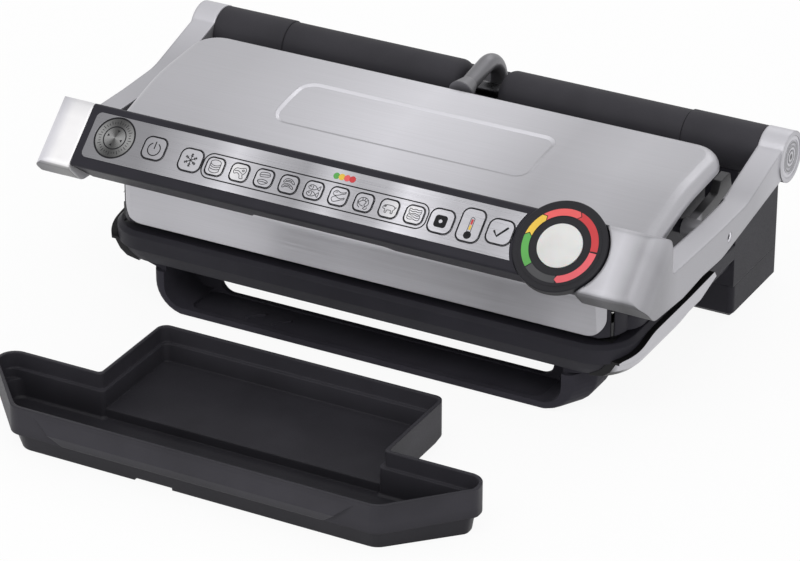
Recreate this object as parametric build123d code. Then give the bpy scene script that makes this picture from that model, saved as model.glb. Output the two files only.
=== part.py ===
from build123d import *
import math
import os

os.makedirs("parts", exist_ok=True)

# Contact grill with a hinged lid, a full width handle panel and a drip tray.
# Millimetres, X to the right, Y to the back, Z up, counter at Z 0.
# While it is built, Y 0 is the hinge axis. Everything is centred at the end.

# Driving sizes of the whole
knuckle_outer = 230.0  # half width over the hinge knuckles, which is the overall half width
axis_z = 127.5  # height of the hinge axis over the counter
beyond = 2 * knuckle_outer  # past everything, for cutting shapes

# Hinge tube and its pieces
shaft_radius = 5.0
shaft_fit = 0.05  # radial running fit of the shaft in the knuckles
cover_radius = 16.8  # the two long tube covers
sleeve_radius = 17.6  # the two shorter sleeves beside the arms
knuckle_radius = 18.0
arm_gap = 0.4  # between a sleeve and the arm beside it
arm_thickness = 17.6
arm_outer = knuckle_outer - 1.0
arm_inner = arm_outer - arm_thickness
sleeve_end = arm_inner - arm_gap
seam_x = sleeve_end - 56.0
seam_gap = 0.4
tube_gap = 28.0  # free width between the covers, where the cable conduit passes
cover_round = 8.0
disc_radius = 14.6
disc_depth = 1.4
disc_grooves = (12.2, 9.0, 5.4)

# Arms and handle caps, seen from the side as Y, Z and corner radius
pivot_y = -97.0  # where the lid hangs in the arms
pivot_z = 110.0
pivot_radius = 4.0
pivot_fit = 0.05
panel_low_y = -228.0  # lower front edge of the handle panel
panel_low_z = 120.0
panel_top_y = -193.4  # upper front edge
panel_top_z = 151.0
panel_back_y = -186.5
panel_back_z = 147.5
cap_corner = 14.0  # between the face and the side of a cap
body_left = -199.0
body_right = 186.0
body_low_y = -193.0
body_low_z = 94.0
grip_left = -80.0
grip_right = 44.0
grip_rise = 9.0

# Control panel, in the plane of the handle's face: X and distance from its lower edge
inlay_left = -193.5
inlay_right = 137.0
inlay_low = 7.8
inlay_high = 41.5
inlay_thickness = 1.2
inlay_proud = 0.2
bezel_x = 160.5
bezel_s = 24.8
bezel_radius = 32.0
bezel_gap = 1.0
bezel_proud = 2.0
bezel_depth = 4.0
ring_outer = 28.0
ring_inner = 21.0
ring_depth = 1.2
ring_split = 0.6
dome_radius = 15.3
dome_fit = 0.3
dome_rise = 2.6
emblem_x = -174.0
emblem_s = 25.8
emblem_radius = 15.4
emblem_depth = 1.0
key_fit = 0.35
key_height = 3.0
key_proud = 0.3
key_pocket = 4.2
program_first = -94.3
program_pitch = 18.75
program_s = 22.6
program_width = 14.0
program_height = 13.4

# Lid
lid_half = 190.0
sheet_half = 203.0
sheet_roll = 9.0  # radius of the rolled edges
sheet_corner = 22.0
lid_back = -38.5
lid_front = -188.8
lid_low = 64.5
lid_top = 146.6
lid_front_corner = 24.0
lid_back_corner = 16.0
sheet_thickness = 1.0
sheet_skirt = 10.5
sheet_back = -41.0
band_half = 182.5
band_corner = 14.0
badge_left = -99.0
badge_right = 97.0
badge_front = -132.0
badge_back = -79.5
badge_depth = 1.2
lid_wall = 4.0
rim_out = 6.0
rim_height = 12.0
boss_radius = 6.3
boss_neck = 4.8
neck_length = 6.0

# Base
rim_top = 60.5
tub_half = 197.0
tub_front = -194.5
tub_corner = 30.0
tub_low = 35.0
tub_low_front = -184.0
ridge_z = 47.5
trim_proud = 4.5
trim_tip = 172.0
housing_front = -12.0
housing_back = 65.0
housing_half = tub_half
housing_top = 118.0
parting_z = 26.0
cavity_half = 186.0
cavity_front = -182.0
cavity_back = -46.0
cavity_floor = 37.0

# Plates
plate_fit = 0.25
plate_thickness = 4.0
rib_pitch = 16.0
rib_width = 5.0
rib_height = 5.5
rib_count = 22
heater_radius = 3.5
reflector_thickness = 0.8
drain_half = 35.0
drain_width = 7.0

# Foot frame under the front
foot_half = 169.0
foot_front = -187.0
foot_back = -146.0
foot_chamfer_x = 10.5
foot_chamfer_y = 19.0
foot_round = 21.0  # lower corners, seen from the front
foot_floor = 4.0
foot_strap = 5.0
foot_lip = 6.5
slot_half = 129.0
slot_corner = 10.0

# Drip tray
tray_x = -4.0  # it stands a little to the left
tray_half = 107.0
tray_back = -256.0
tray_wing_back = -333.5
tray_wing_half = 178.5
tray_side_front = -350.0
tray_front_half = 134.0
tray_front = -402.0
tray_top = 34.2
tray_step_z = 14.0
tray_step = 4.5
tray_taper = 2.5
tray_wall = 2.4
tray_ledge = 2.5
tray_ledge_z = 23.0
tray_lift = 7.3
tray_bulge = 3.0  # how far the front face stands out
tray_bulge_high = 31.0
tray_bulge_z = 21.5
tray_bulge_half = 122.0

# Rubber feet
pad_radius = 9.0
pad_height = 2.0

# Cable conduit
conduit_radius = 6.0
conduit_arc = 19.0
conduit_bore = 4.2
conduit_slot = 31.0
conduit_foot_half = 9.5

pieces = {}


# Helpers

def outline(points):
    """Closed face through points given as a, b and corner radius."""
    count = len(points)
    turn = sum(points[i - 1][0] * points[i][1] - points[i][0] * points[i - 1][1] for i in range(count))
    if turn < 0:
        points = points[::-1]
    corners = []
    for index in range(count):
        a, b, radius = points[index]
        here = Vector(a, b)
        before = Vector(points[index - 1][0], points[index - 1][1])
        after = Vector(points[(index + 1) % count][0], points[(index + 1) % count][1])
        if radius == 0:
            corners.append((here, None, here))
            continue
        u = (before - here).normalized()
        v = (after - here).normalized()
        half = math.acos(max(-1.0, min(1.0, u.dot(v)))) / 2
        reach = radius / math.tan(half)
        middle = here + (u + v).normalized() * (radius / math.sin(half) - radius)
        corners.append((here + u * reach, middle, here + v * reach))
    edges = []
    for index in range(count):
        start, middle, end = corners[index]
        following = corners[(index + 1) % count][0]
        if middle is not None:
            edges.append(Edge.make_three_point_arc(start, middle, end))
        if (following - end).length > 0.001:
            edges.append(Edge.make_line(end, following))
    return Face(Wire(edges))


def from_side(points, x0, x1):
    """Solid with a side outline in Y and Z between two X values."""
    face = points if isinstance(points, Face) else outline(points)
    return extrude(Plane.YZ.offset(min(x0, x1)) * face, abs(x1 - x0))


def from_top(points, z0, z1):
    """Solid with a plan outline in X and Y between two heights."""
    face = points if isinstance(points, Face) else outline(points)
    return extrude(Plane.XY.offset(z0) * face, z1 - z0)


def from_front(points, y0, y1):
    """Solid with a front outline in X and Z between two Y values."""
    face = points if isinstance(points, Face) else outline(points)
    plane = Plane(origin=(0, y1, 0), x_dir=(1, 0, 0), z_dir=(0, -1, 0))
    return extrude(plane * face, y1 - y0)


def block(x0, x1, y0, y1, z0, z1):
    """Box between two corners."""
    return Pos((x0 + x1) / 2, (y0 + y1) / 2, (z0 + z1) / 2) * Box(x1 - x0, y1 - y0, z1 - z0)


def bar(x0, x1, y, z, radius):
    """Cylinder along X."""
    return Pos((x0 + x1) / 2, y, z) * Rot(0, 90, 0) * Cylinder(radius, abs(x1 - x0))


def mirrored(shape):
    """Copy on the other side of the middle plane."""
    return mirror(shape, about=Plane.YZ)


panel_tilt = math.atan2(panel_top_z - panel_low_z, panel_top_y - panel_low_y)
panel_height = math.hypot(panel_top_z - panel_low_z, panel_top_y - panel_low_y)
panel_plane = Plane(
    origin=(0, panel_low_y, panel_low_z),
    x_dir=(1, 0, 0),
    z_dir=(0, -math.sin(panel_tilt), math.cos(panel_tilt)),
)


def on_panel(points, low, high):
    """Solid on the handle's face between two heights over the face."""
    face = points if isinstance(points, Face) else outline(points)
    return extrude(panel_plane.offset(low) * face, high - low)


def panel_disc(x, s, radius, low, high):
    """Round solid on the handle's face."""
    return panel_plane * Pos(x, s, (low + high) / 2) * Cylinder(radius, high - low)


def key_outline(x, s, width, height, grow):
    """Rounded square key, seen on the panel."""
    w = width / 2 + grow
    h = height / 2 + grow
    r = 0.32 * min(width, height) + grow
    return [(x - w, s - h, r), (x + w, s - h, r), (x + w, s + h, r), (x - w, s + h, r)]


# Hinge shaft, covers and sleeves

def hinge_pieces():
    shaft_end = knuckle_outer - disc_depth - 2.0
    bore = bar(-sleeve_end, sleeve_end, 0, axis_z, shaft_radius)
    pieces["hinge_shaft"] = bar(-shaft_end, shaft_end, 0, axis_z, shaft_radius)
    cover = bar(tube_gap / 2, seam_x - seam_gap / 2, 0, axis_z, cover_radius)
    inner_edge = cover.edges().filter_by(GeomType.CIRCLE).sort_by(Axis.X)[0]
    cover = fillet([inner_edge], cover_round)
    cover = cover - bore
    pieces["tube_cover_right"] = cover
    pieces["tube_cover_left"] = mirrored(cover)
    sleeve = bar(seam_x + seam_gap / 2, sleeve_end, 0, axis_z, sleeve_radius)
    sleeve = chamfer([sleeve.edges().filter_by(GeomType.CIRCLE).sort_by(Axis.X)[0]], 0.6)
    sleeve = sleeve - bore
    pieces["hinge_sleeve_right"] = sleeve
    pieces["hinge_sleeve_left"] = mirrored(sleeve)


# Arms, caps and panel housing

def arm_side():
    """Side outline of an arm with its hook shaped front end."""
    return [
        (0, axis_z - knuckle_radius + 3, 0),
        (-14, 115.3, 0),
        (-29.3, 112.8, 0),
        (pivot_y - 11.5, pivot_z - 10.6, 60),
        (-138.7, 100.5, 0),
        (-169.3, 98.4, 60),
        (-214.0, 101.5, 14),
        (panel_low_y - 2.0, panel_low_z - 1.8, 5),
        (panel_top_y, panel_top_z, 4),
        (panel_back_y, panel_back_z, 3),
        (panel_back_y - 1.5, 123.0, 5),
        (-145, 122.0, 80),
        (pivot_y - 13.5, pivot_z + 11.3, 60),
        (-69.5, 122.0, 60),
        (-13.6, 138.3, 0),
        (0, axis_z + knuckle_radius - 3, 0),
    ]


def cap_side():
    """Side outline of the closed part of a handle cap."""
    return [
        (panel_back_y - 1.5, 118.0, 4),
        (-197.0, 101.0, 6),
        (-214.0, 101.5, 14),
        (panel_low_y - 2.0, panel_low_z - 1.8, 5),
        (panel_top_y, panel_top_z, 4),
        (panel_back_y, panel_back_z, 3),
    ]


def body_side():
    """Side outline of the black panel housing."""
    return [
        (panel_back_y - 0.5, 118.0, 0),
        (body_low_y, body_low_z, 5),
        (panel_low_y, panel_low_z, 2.5),
        (panel_top_y, panel_top_z, 3),
        (panel_back_y, panel_back_z, 3),
    ]


def cap_cutter():
    """Rounds the edge between a cap's face and its outer side, swept along the face."""
    along = (0, math.cos(panel_tilt), math.sin(panel_tilt))
    start = panel_plane.origin - Vector(*along) * cap_corner
    plane = Plane(origin=start, x_dir=(1, 0, 0), z_dir=along)
    middle = cap_corner * math.sqrt(0.5)
    inner = arm_outer - cap_corner
    edges = [
        Edge.make_three_point_arc(
            Vector(inner, 0),
            Vector(inner + middle, cap_corner - middle),
            Vector(arm_outer, cap_corner),
        ),
        Edge.make_line(Vector(arm_outer, cap_corner), Vector(arm_outer + 5, cap_corner)),
        Edge.make_line(Vector(arm_outer + 5, cap_corner), Vector(arm_outer + 5, -10)),
        Edge.make_line(Vector(arm_outer + 5, -10), Vector(inner, -10)),
        Edge.make_line(Vector(inner, -10), Vector(inner, 0)),
    ]
    face = Face(Wire(edges))
    if face.normal_at().Z < 0:
        face = -face
    return extrude(plane * face, panel_height + 2 * cap_corner)


def arm(right):
    """One silver arm with knuckle, pivot bore and handle cap."""
    side = from_side(arm_side(), arm_inner, arm_outer)
    knuckle = bar(arm_inner, knuckle_outer, 0, axis_z, knuckle_radius)
    inner_face = bezel_x + 6 if right else -body_left
    cap = from_side(cap_side(), inner_face, arm_outer)
    shape = side + cap
    shape = shape - cap_cutter() + knuckle
    shape = shape - bar(arm_inner - 1, knuckle_outer - disc_depth - 1.5, 0, axis_z, shaft_radius + shaft_fit)
    shape = shape - bar(knuckle_outer - disc_depth, knuckle_outer + 1, 0, axis_z, disc_radius)
    lower = from_side(
        [
            (pivot_y + 27, pivot_z + 20, 0),
            (pivot_y + 27, pivot_z + 9, 0),
            (pivot_y + 1, pivot_z + 8, 30),
            (pivot_y - 53, pivot_z + 5.5, 30),
            (pivot_y - 75, pivot_z + 14, 0),
            (pivot_y - 75, pivot_z + 20, 0),
        ],
        arm_inner - 6, arm_inner + 1,
    )
    shape = shape - lower
    shape = shape - bar(arm_inner - 1, arm_outer - 5, pivot_y, pivot_z, pivot_radius + pivot_fit)
    shape = shape - bar(arm_outer - 5, arm_outer + 1, pivot_y, pivot_z, 3.4)
    if right:
        shape = shape - panel_disc(bezel_x, bezel_s, bezel_radius + bezel_gap, -60, 20)
    return shape


def handle_pieces():
    right = arm(True)
    left = mirrored(arm(False))
    pieces["handle_arm_right"] = right
    pieces["handle_arm_left"] = left
    disc = bar(knuckle_outer - disc_depth, knuckle_outer - 0.2, 0, axis_z, disc_radius - 0.1)
    for radius in disc_grooves:
        groove = bar(knuckle_outer - 0.7, knuckle_outer + 1, 0, axis_z, radius)
        groove = groove - bar(knuckle_outer - 1, knuckle_outer + 2, 0, axis_z, radius - 0.9)
        disc = disc - groove
    pieces["hinge_discs"] = Compound(children=[disc, mirrored(disc)])
    screw = bar(arm_outer - 5, arm_outer - 2.2, pivot_y, pivot_z, 3.4)
    screw = screw - bar(arm_outer - 3.4, arm_outer, pivot_y, pivot_z, 1.6)
    pieces["arm_pivot_screws"] = Compound(children=[screw, mirrored(screw)])

    body = from_side(body_side(), body_left, body_right)
    body = body - right
    grip = from_front(
        [
            (grip_left, body_low_z - 6, 0),
            (grip_left + 9, body_low_z + grip_rise, 6),
            (grip_right - 13, body_low_z + grip_rise, 6),
            (grip_right, body_low_z - 6, 0),
        ],
        panel_low_y - 10, panel_back_y + 10,
    )
    body = body - grip
    top = panel_disc(bezel_x, bezel_s, bezel_radius + 0.3, -bezel_depth, 20)
    body = body - top
    body = body - on_panel(inlay_outline(0), inlay_proud - inlay_thickness, 20)
    body = body - panel_disc(emblem_x, emblem_s, emblem_radius, inlay_proud - inlay_thickness - emblem_depth, 5)
    for name, x, s, width, height in keys():
        pocket = on_panel(key_outline(x, s, width, height, key_fit), -key_pocket, 5)
        body = body - pocket
    pieces["panel_housing"] = body

    inlay = on_panel(inlay_outline(0), inlay_proud - inlay_thickness, inlay_proud)
    inlay = inlay - panel_disc(emblem_x, emblem_s, emblem_radius, -5, 5)
    for name, x, s, width, height in keys():
        inlay = inlay - on_panel(key_outline(x, s, width, height, key_fit), -5, 5)
        cap = on_panel(key_outline(x, s, width, height, 0), inlay_proud + key_proud - key_height, inlay_proud + key_proud)
        pieces[name] = cap
    pieces["panel_inlay"] = inlay
    emblem = panel_disc(emblem_x, emblem_s, emblem_radius, inlay_proud - inlay_thickness - emblem_depth, inlay_proud - 0.1)
    groove = panel_disc(emblem_x, emblem_s, emblem_radius - 0.7, inlay_proud - 0.4, 5)
    groove = groove - panel_disc(emblem_x, emblem_s, emblem_radius - 1.3, -5, 6)
    pieces["sensor_emblem"] = emblem - groove


def inlay_outline(grow):
    """Brushed inlay, hollowed on the right round the bezel."""
    face = outline([
        (inlay_left - grow, inlay_low - grow, 4 + grow),
        (bezel_x, inlay_low - grow, 0),
        (bezel_x, inlay_high + grow, 0),
        (inlay_left - grow, inlay_high + grow, 4 + grow),
    ])
    cut = Pos(bezel_x, bezel_s) * Circle(bezel_radius + bezel_gap + 1.5)
    limit = Pos(inlay_right + 50, bezel_s) * Rectangle(100, 200)
    return (face - cut - limit).faces()[0]


def keys():
    """Name, place and size of every push key."""
    rows = [
        ("power_key", -142.4, 25.0, 17.6, 17.0),
        ("defrost_key", -113.2, 23.0, 17.6, 17.0),
    ]
    for index in range(9):
        x = program_first + index * program_pitch
        rows.append((f"program_key_{index + 1}", x, program_s, program_width, program_height))
    rows.append(("manual_key", 75.3, 22.6, 18.0, 17.6))
    rows.append(("temperature_key", 96.2, 24.6, 17.0, 24.0))
    rows.append(("confirm_key", 117.2, 24.9, 18.6, 18.0))
    return rows


# Indicator ring and dome

def ring_pieces():
    bezel = panel_disc(bezel_x, bezel_s, bezel_radius, -bezel_depth, bezel_proud)
    rim = bezel.edges().filter_by(GeomType.CIRCLE).sort_by(Axis(panel_plane.origin, panel_plane.z_dir))[-1]
    bezel = fillet([rim], 1.2)
    track = panel_disc(bezel_x, bezel_s, ring_outer, bezel_proud - ring_depth, 10)
    track = track - panel_disc(bezel_x, bezel_s, ring_inner, -10, 20)
    bezel = bezel - track
    bezel = bezel - panel_disc(bezel_x, bezel_s, dome_radius + dome_fit, bezel_proud - 3.0, 10)
    pieces["ring_bezel"] = bezel
    full = track & panel_disc(bezel_x, bezel_s, ring_outer, -10, bezel_proud + 0.15)
    names = (
        ("ring_segment_red", -22, 70),
        ("ring_segment_salmon", 70, 115),
        ("ring_segment_yellow", 115, 168),
        ("ring_segment_green", 168, 218),
        ("ring_segment_grey", 218, 266),
        ("ring_segment_rose", 266, 338),
    )
    for name, start, end in names:
        half = math.degrees(ring_split / 2 / ring_outer)
        face = outline(sector(start + half, end - half))
        wedge = on_panel(Pos(bezel_x, bezel_s) * face, -10, 20)
        pieces[name] = full & wedge
    base = panel_disc(bezel_x, bezel_s, dome_radius, bezel_proud - 3.0, bezel_proud + 0.4)
    sphere = (dome_radius ** 2 + dome_rise ** 2) / (2 * dome_rise)
    ball = panel_plane * Pos(bezel_x, bezel_s, bezel_proud + 0.4 + dome_rise - sphere) * Sphere(sphere)
    tall = panel_disc(bezel_x, bezel_s, dome_radius, bezel_proud - 3.0, bezel_proud + 0.4 + dome_rise + 1)
    pieces["indicator_dome"] = tall & (ball + base)


def sector(start, end):
    """Points of a wedge round the origin, wide enough for the ring."""
    points = [(0, 0, 0)]
    steps = max(2, int((end - start) / 15))
    for index in range(steps + 1):
        angle = math.radians(start + (end - start) * index / steps)
        points.append((60 * math.cos(angle), 60 * math.sin(angle), 0))
    return points


# Lid with sheet, housing, plate and conduit

def lid_side(low, stretch=0.0):
    """Side outline of the lid's outside, down to the given height, longer at the back if asked."""
    fall = 4.4
    bend = -110.0
    back = lid_back + stretch
    top = lid_top + fall * stretch / (lid_back - bend)
    return outline([
        (back, low, 0),
        (back, top, 4 if stretch == 0 else 0),
        (bend, lid_top - fall, 150),
        (-168.0, lid_top - 20.5, 40),
        (lid_front, 96.0, 20),
        (lid_front + 1.3, low, 0),
    ])


def lid_plan(shrink):
    """Plan outline of the lid with rounded corners."""
    half = lid_half - shrink
    return [
        (-half, lid_front - 2 + shrink, lid_front_corner - shrink),
        (half, lid_front - 2 + shrink, lid_front_corner - shrink),
        (half, lid_back + 0.5 - shrink, lid_back_corner - shrink),
        (-half, lid_back + 0.5 - shrink, lid_back_corner - shrink),
    ]


def roof(shrink):
    """Top of the lid over its full width, with rolled side edges and round back corners."""
    low = lid_low
    face = lid_side(low, 40.0)
    if shrink > 0:
        face = offset(face, -shrink, kind=Kind.INTERSECTION).faces()[0]
    half = sheet_half - shrink
    back = sheet_back - shrink
    solid = from_side(face, -half, half) - block(-beyond, beyond, back, beyond, 0, beyond)
    upright = [e for e in solid.edges().filter_by(Axis.Z) if e.center().Y > back - 1]
    solid = fillet(upright, sheet_corner - shrink)
    edges = []
    for edge in solid.edges():
        middle = edge @ 0.5
        start, end = edge @ 0.0, edge @ 1.0
        if middle.Z < low + 3 or math.hypot(start.X - end.X, start.Y - end.Y) < 0.5:
            continue
        at_back = middle.Y > back - sheet_corner - 1 and (abs(middle.X) < 1 or abs(middle.X) > half - sheet_corner)
        if abs(abs(middle.X) - half) < 0.01 or at_back:
            edges.append(edge)
    return fillet(edges, sheet_roll - shrink)


def badge_prism(grow):
    """Upright prism over the shallow recess in the lid's top."""
    return from_top(
        [
            (badge_left - grow, badge_front - grow, 12 + grow),
            (badge_right + grow, badge_front - grow, 12 + grow),
            (badge_right + grow, badge_back + grow, 12 + grow),
            (badge_left - grow, badge_back + grow, 12 + grow),
        ],
        100, 200,
    )


def lid_pieces():
    low = lid_low - 10
    face = lid_side(low)
    outer = from_side(face, -lid_half, lid_half) & from_top(lid_plan(0), low, lid_top + 5)
    inner_face = offset(face, -sheet_thickness, kind=Kind.INTERSECTION).faces()[0]
    inner = from_side(inner_face, -lid_half, lid_half) & from_top(lid_plan(sheet_thickness), low, lid_top + 5)
    skirt_face = offset(lid_side(low, 40.0), -sheet_skirt, kind=Kind.INTERSECTION).faces()[0]
    above = from_side(skirt_face, -beyond, beyond)
    front_zone = from_front(
        [
            (-band_half, lid_low, band_corner),
            (band_half, lid_low, band_corner),
            (band_half, 120, 0),
            (-band_half, 120, 0),
        ],
        lid_front - 10, lid_front + lid_front_corner + 6,
    )
    band = (outer - inner) & front_zone
    top = (roof(0) - roof(sheet_thickness)) - above
    top = top & block(-beyond, beyond, lid_front + 8, 0, 104, beyond)
    sheet = biggest(top) + band
    dip_face = offset(face, -badge_depth, kind=Kind.INTERSECTION).faces()[0]
    deep_face = offset(face, -badge_depth - sheet_thickness, kind=Kind.INTERSECTION).faces()[0]
    dip = badge_prism(0) - from_side(dip_face, -lid_half, lid_half)
    floor = badge_prism(sheet_thickness) & outer
    floor = floor - from_side(deep_face, -lid_half, lid_half) - dip
    sheet = (sheet - dip) + floor
    sheet = biggest(sheet)
    above_lid = block(-beyond, beyond, -beyond, 0, lid_low, beyond)
    edge_room = block(-beyond, beyond, sheet_back - sheet_corner, 0, 100, beyond) - roof(0)
    edge_room = edge_room & block(-beyond, beyond, -beyond, 0, lid_top - sheet_skirt, beyond)
    housing = (outer & above_lid) - dip - sheet - edge_room
    housing = biggest(housing)
    flange = from_top(
        [
            (-lid_half - rim_out, lid_front + 16, 18),
            (lid_half + rim_out, lid_front + 16, 18),
            (lid_half + rim_out, lid_back - 6, 10),
            (-lid_half - rim_out, lid_back - 6, 10),
        ],
        lid_low, lid_low + rim_height,
    )
    flange = chamfer(flange.faces().sort_by(Axis.Z)[-1].edges(), 2.0)
    middle = block(-lid_half + 1.5, lid_half - 1.5, lid_front, 0, 0, 200)
    flange = flange - middle
    side_flanges = [s for s in (flange - outer).solids() if s.volume > 100]
    for solid in side_flanges:
        housing = housing + solid
    cavity_face = offset(face, -lid_wall, kind=Kind.INTERSECTION).faces()[0]
    cavity = from_side(cavity_face, -cavity_half, cavity_half)
    cavity = cavity & block(-beyond, beyond, cavity_front, cavity_back, 0, beyond)
    housing = housing - cavity
    for side in (-1, 1):
        near, far = sorted((side * (lid_half - 1), side * (lid_half + neck_length)))
        housing = housing + bar(near, far, pivot_y, pivot_z, boss_neck)
    tube = conduit_piece()
    housing = housing - conduit_cutter()
    sheet = sheet - conduit_cutter()
    pieces["lid_housing"] = biggest(housing)
    pieces["lid_sheet"] = biggest(sheet)
    pieces["cable_conduit"] = tube

    plate = grill_plate(False)
    pieces["upper_plate"] = plate
    pieces["upper_heater"] = heater(lid_low + rib_height + 1.0 + plate_thickness + heater_radius)
    shelf = lid_low + rib_height + 1.0 + plate_thickness + 2 * heater_radius
    pieces["upper_reflector"] = reflector(shelf, True)
    pieces["lid_levers"] = lever_pieces()


def biggest(shape):
    """Largest solid of a shape."""
    return sorted(shape.solids(), key=lambda s: s.volume)[-1]


def conduit_path():
    """Centre line of the conduit over the hinge tube."""
    start_angle = math.radians(100)
    end_angle = math.radians(-42)
    a = Vector(0, conduit_arc * math.cos(start_angle), axis_z + conduit_arc * math.sin(start_angle))
    middle = math.radians(30)
    m = Vector(0, conduit_arc * math.cos(middle), axis_z + conduit_arc * math.sin(middle))
    b = Vector(0, conduit_arc * math.cos(end_angle), axis_z + conduit_arc * math.sin(end_angle))
    slope = math.radians(10)
    reach = 36.0
    start = a + Vector(0, -math.cos(slope), -math.sin(slope)) * reach
    return Wire([Edge.make_line(start, a), Edge.make_three_point_arc(a, m, b)]), start


def conduit_piece():
    """Bent tube that carries the wires from the lid into the base."""
    path, start = conduit_path()
    plane = Plane(origin=start, x_dir=(1, 0, 0), z_dir=path % 0)
    tube = sweep(plane * Circle(conduit_radius), path=path)
    bore = sweep(plane * Circle(conduit_bore), path=path)
    lead = Vector(0, math.cos(math.radians(10)), math.sin(math.radians(10)))
    wide = plane * Circle(conduit_foot_half)
    narrow = Plane(origin=start + lead * 12, x_dir=(1, 0, 0), z_dir=lead) * Circle(conduit_radius)
    foot = loft(Sketch() + [wide, narrow])
    return (tube + foot) - bore


def conduit_cutter():
    """Room for the conduit's foot in the lid."""
    path, start = conduit_path()
    lead = Vector(0, math.cos(math.radians(10)), math.sin(math.radians(10)))
    wide = Plane(origin=start, x_dir=(1, 0, 0), z_dir=lead) * Circle(conduit_foot_half)
    narrow = Plane(origin=start + lead * 12, x_dir=(1, 0, 0), z_dir=lead) * Circle(conduit_radius)
    foot = loft(Sketch() + [wide, narrow])
    tube = Plane(origin=start, x_dir=(1, 0, 0), z_dir=lead) * Circle(conduit_radius)
    return foot + extrude(tube, 30)


def lever_pieces():
    """Pivot pins with their bosses and levers, one set on each side of the lid."""
    inner = lid_half + neck_length
    shape = bar(inner, arm_inner - 2.4, pivot_y, pivot_z, boss_radius)
    shape = shape + bar(arm_inner - 3, arm_outer - 5.6, pivot_y, pivot_z, pivot_radius)
    lever = from_side(
        [
            (pivot_y + 2, pivot_z - 4.0, 0),
            (pivot_y + 24, pivot_z - 4.4, 0),
            (pivot_y + 48, pivot_z + 0.5, 0),
            (pivot_y + 64, pivot_z + 1.5, 2),
            (pivot_y + 59, pivot_z + 16, 2),
            (pivot_y + 45, pivot_z + 15, 2),
            (pivot_y + 40, pivot_z + 7.8, 0),
            (pivot_y + 2, pivot_z + 3, 0),
        ],
        inner, inner + 6,
    )
    shape = shape + lever
    return Compound(children=[shape, mirrored(shape)])


# Plates, heaters and reflectors

def grill_plate(lower):
    """Ribbed plate. The lower one has a gutter with a drain at the front."""
    half = cavity_half - plate_fit
    front = cavity_front + plate_fit
    back = cavity_back - plate_fit
    if lower:
        rim = rim_top - 0.5
        floor = rim - rib_height - 1.0
        slab = block(-half, half, front, back, floor - plate_thickness, floor)
        wall = block(-half, half, front, back, floor, rim) - block(-half + 4, half - 4, front + 4, back - 4, floor, rim)
        rib_low, rib_high = floor, floor + rib_height
    else:
        rim = lid_low + 0.5
        floor = rim + rib_height + 0.5
        slab = block(-half, half, front, back, floor, floor + plate_thickness)
        wall = block(-half, half, front, back, rim, floor) - block(-half + 4, half - 4, front + 4, back - 4, rim, floor)
        rib_low, rib_high = floor - rib_height, floor
    plate = slab + wall
    gutter = 14.0
    start = -rib_pitch * (rib_count - 1) / 2
    ribs = []
    for index in range(rib_count):
        x = start + index * rib_pitch
        ribs.append(block(x - rib_width / 2, x + rib_width / 2, front + gutter, back - 7, rib_low, rib_high))
    for rib in ribs:
        plate = plate + rib
    if lower:
        drain_y = front + 4 + drain_width / 2
        drain = block(-drain_half, drain_half, drain_y - drain_width / 2, drain_y + drain_width / 2, 0, 200)
        plate = plate - drain
    return plate


def heater(z):
    """Bent heating element behind a plate."""
    front = cavity_front + 34
    back = cavity_back - 22
    half = cavity_half - 34
    bend = 26.0
    edges = []
    y_turn = (front + back) / 2
    points = [
        Vector(-half + 20, back, z),
        Vector(half - bend, back, z),
        Vector(half, back - bend, z),
        Vector(half, front + bend, z),
        Vector(half - bend, front, z),
        Vector(-half + 20, front, z),
    ]
    corner = bend * (1 - math.sqrt(0.5))
    edges.append(Edge.make_line(points[0], points[1]))
    edges.append(Edge.make_three_point_arc(points[1], Vector(half - corner, back - corner, z), points[2]))
    edges.append(Edge.make_line(points[2], points[3]))
    edges.append(Edge.make_three_point_arc(points[3], Vector(half - corner, front + corner, z), points[4]))
    edges.append(Edge.make_line(points[4], points[5]))
    path = Wire(edges)
    plane = Plane(origin=points[0], x_dir=(0, 1, 0), z_dir=(1, 0, 0))
    return sweep(plane * Circle(heater_radius), path=path)


def reflector(z, upward):
    """Thin bright tray that throws the heat back to the plate."""
    half = cavity_half - plate_fit
    front = cavity_front + plate_fit
    back = cavity_back - plate_fit
    low, high = (z, z + reflector_thickness)
    sheet = block(-half, half, front + (0 if upward else 14), back, low, high)
    return sheet


# Base tub, trims, housing and foot frame

def pan(half, front, corner):
    """Plan outline of the tub, square at the back."""
    return [
        (-half, front, corner),
        (half, front, corner),
        (half, housing_front, 0),
        (-half, housing_front, 0),
    ]


def tub_outside(grow):
    """Outside of the tub, grown by a little for the trims."""
    rim = from_top(pan(tub_half + grow, tub_front - grow, tub_corner + grow), ridge_z, rim_top)
    levels = [
        (ridge_z, tub_half - 1.5, tub_front + 1.5, tub_corner),
        (tub_low + 6, tub_half - 3.5, tub_front + 4.5, tub_corner - 2),
        (tub_low + 2, tub_half - 7.5, tub_front + 6.5, tub_corner - 4),
        (tub_low, tub_half - 13, tub_low_front, tub_corner - 6),
    ]
    shape = rim
    for index in range(len(levels) - 1):
        z1, h1, f1, c1 = levels[index]
        z0, h0, f0, c0 = levels[index + 1]
        upper = Plane.XY.offset(z1) * outline(pan(h1 + grow, f1 - grow, c1 + grow))
        lower = Plane.XY.offset(z0) * outline(pan(h0 + grow, f0 - grow, c0 + grow))
        shape = shape + loft(Sketch() + [lower, upper], ruled=True)
    return shape


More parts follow.
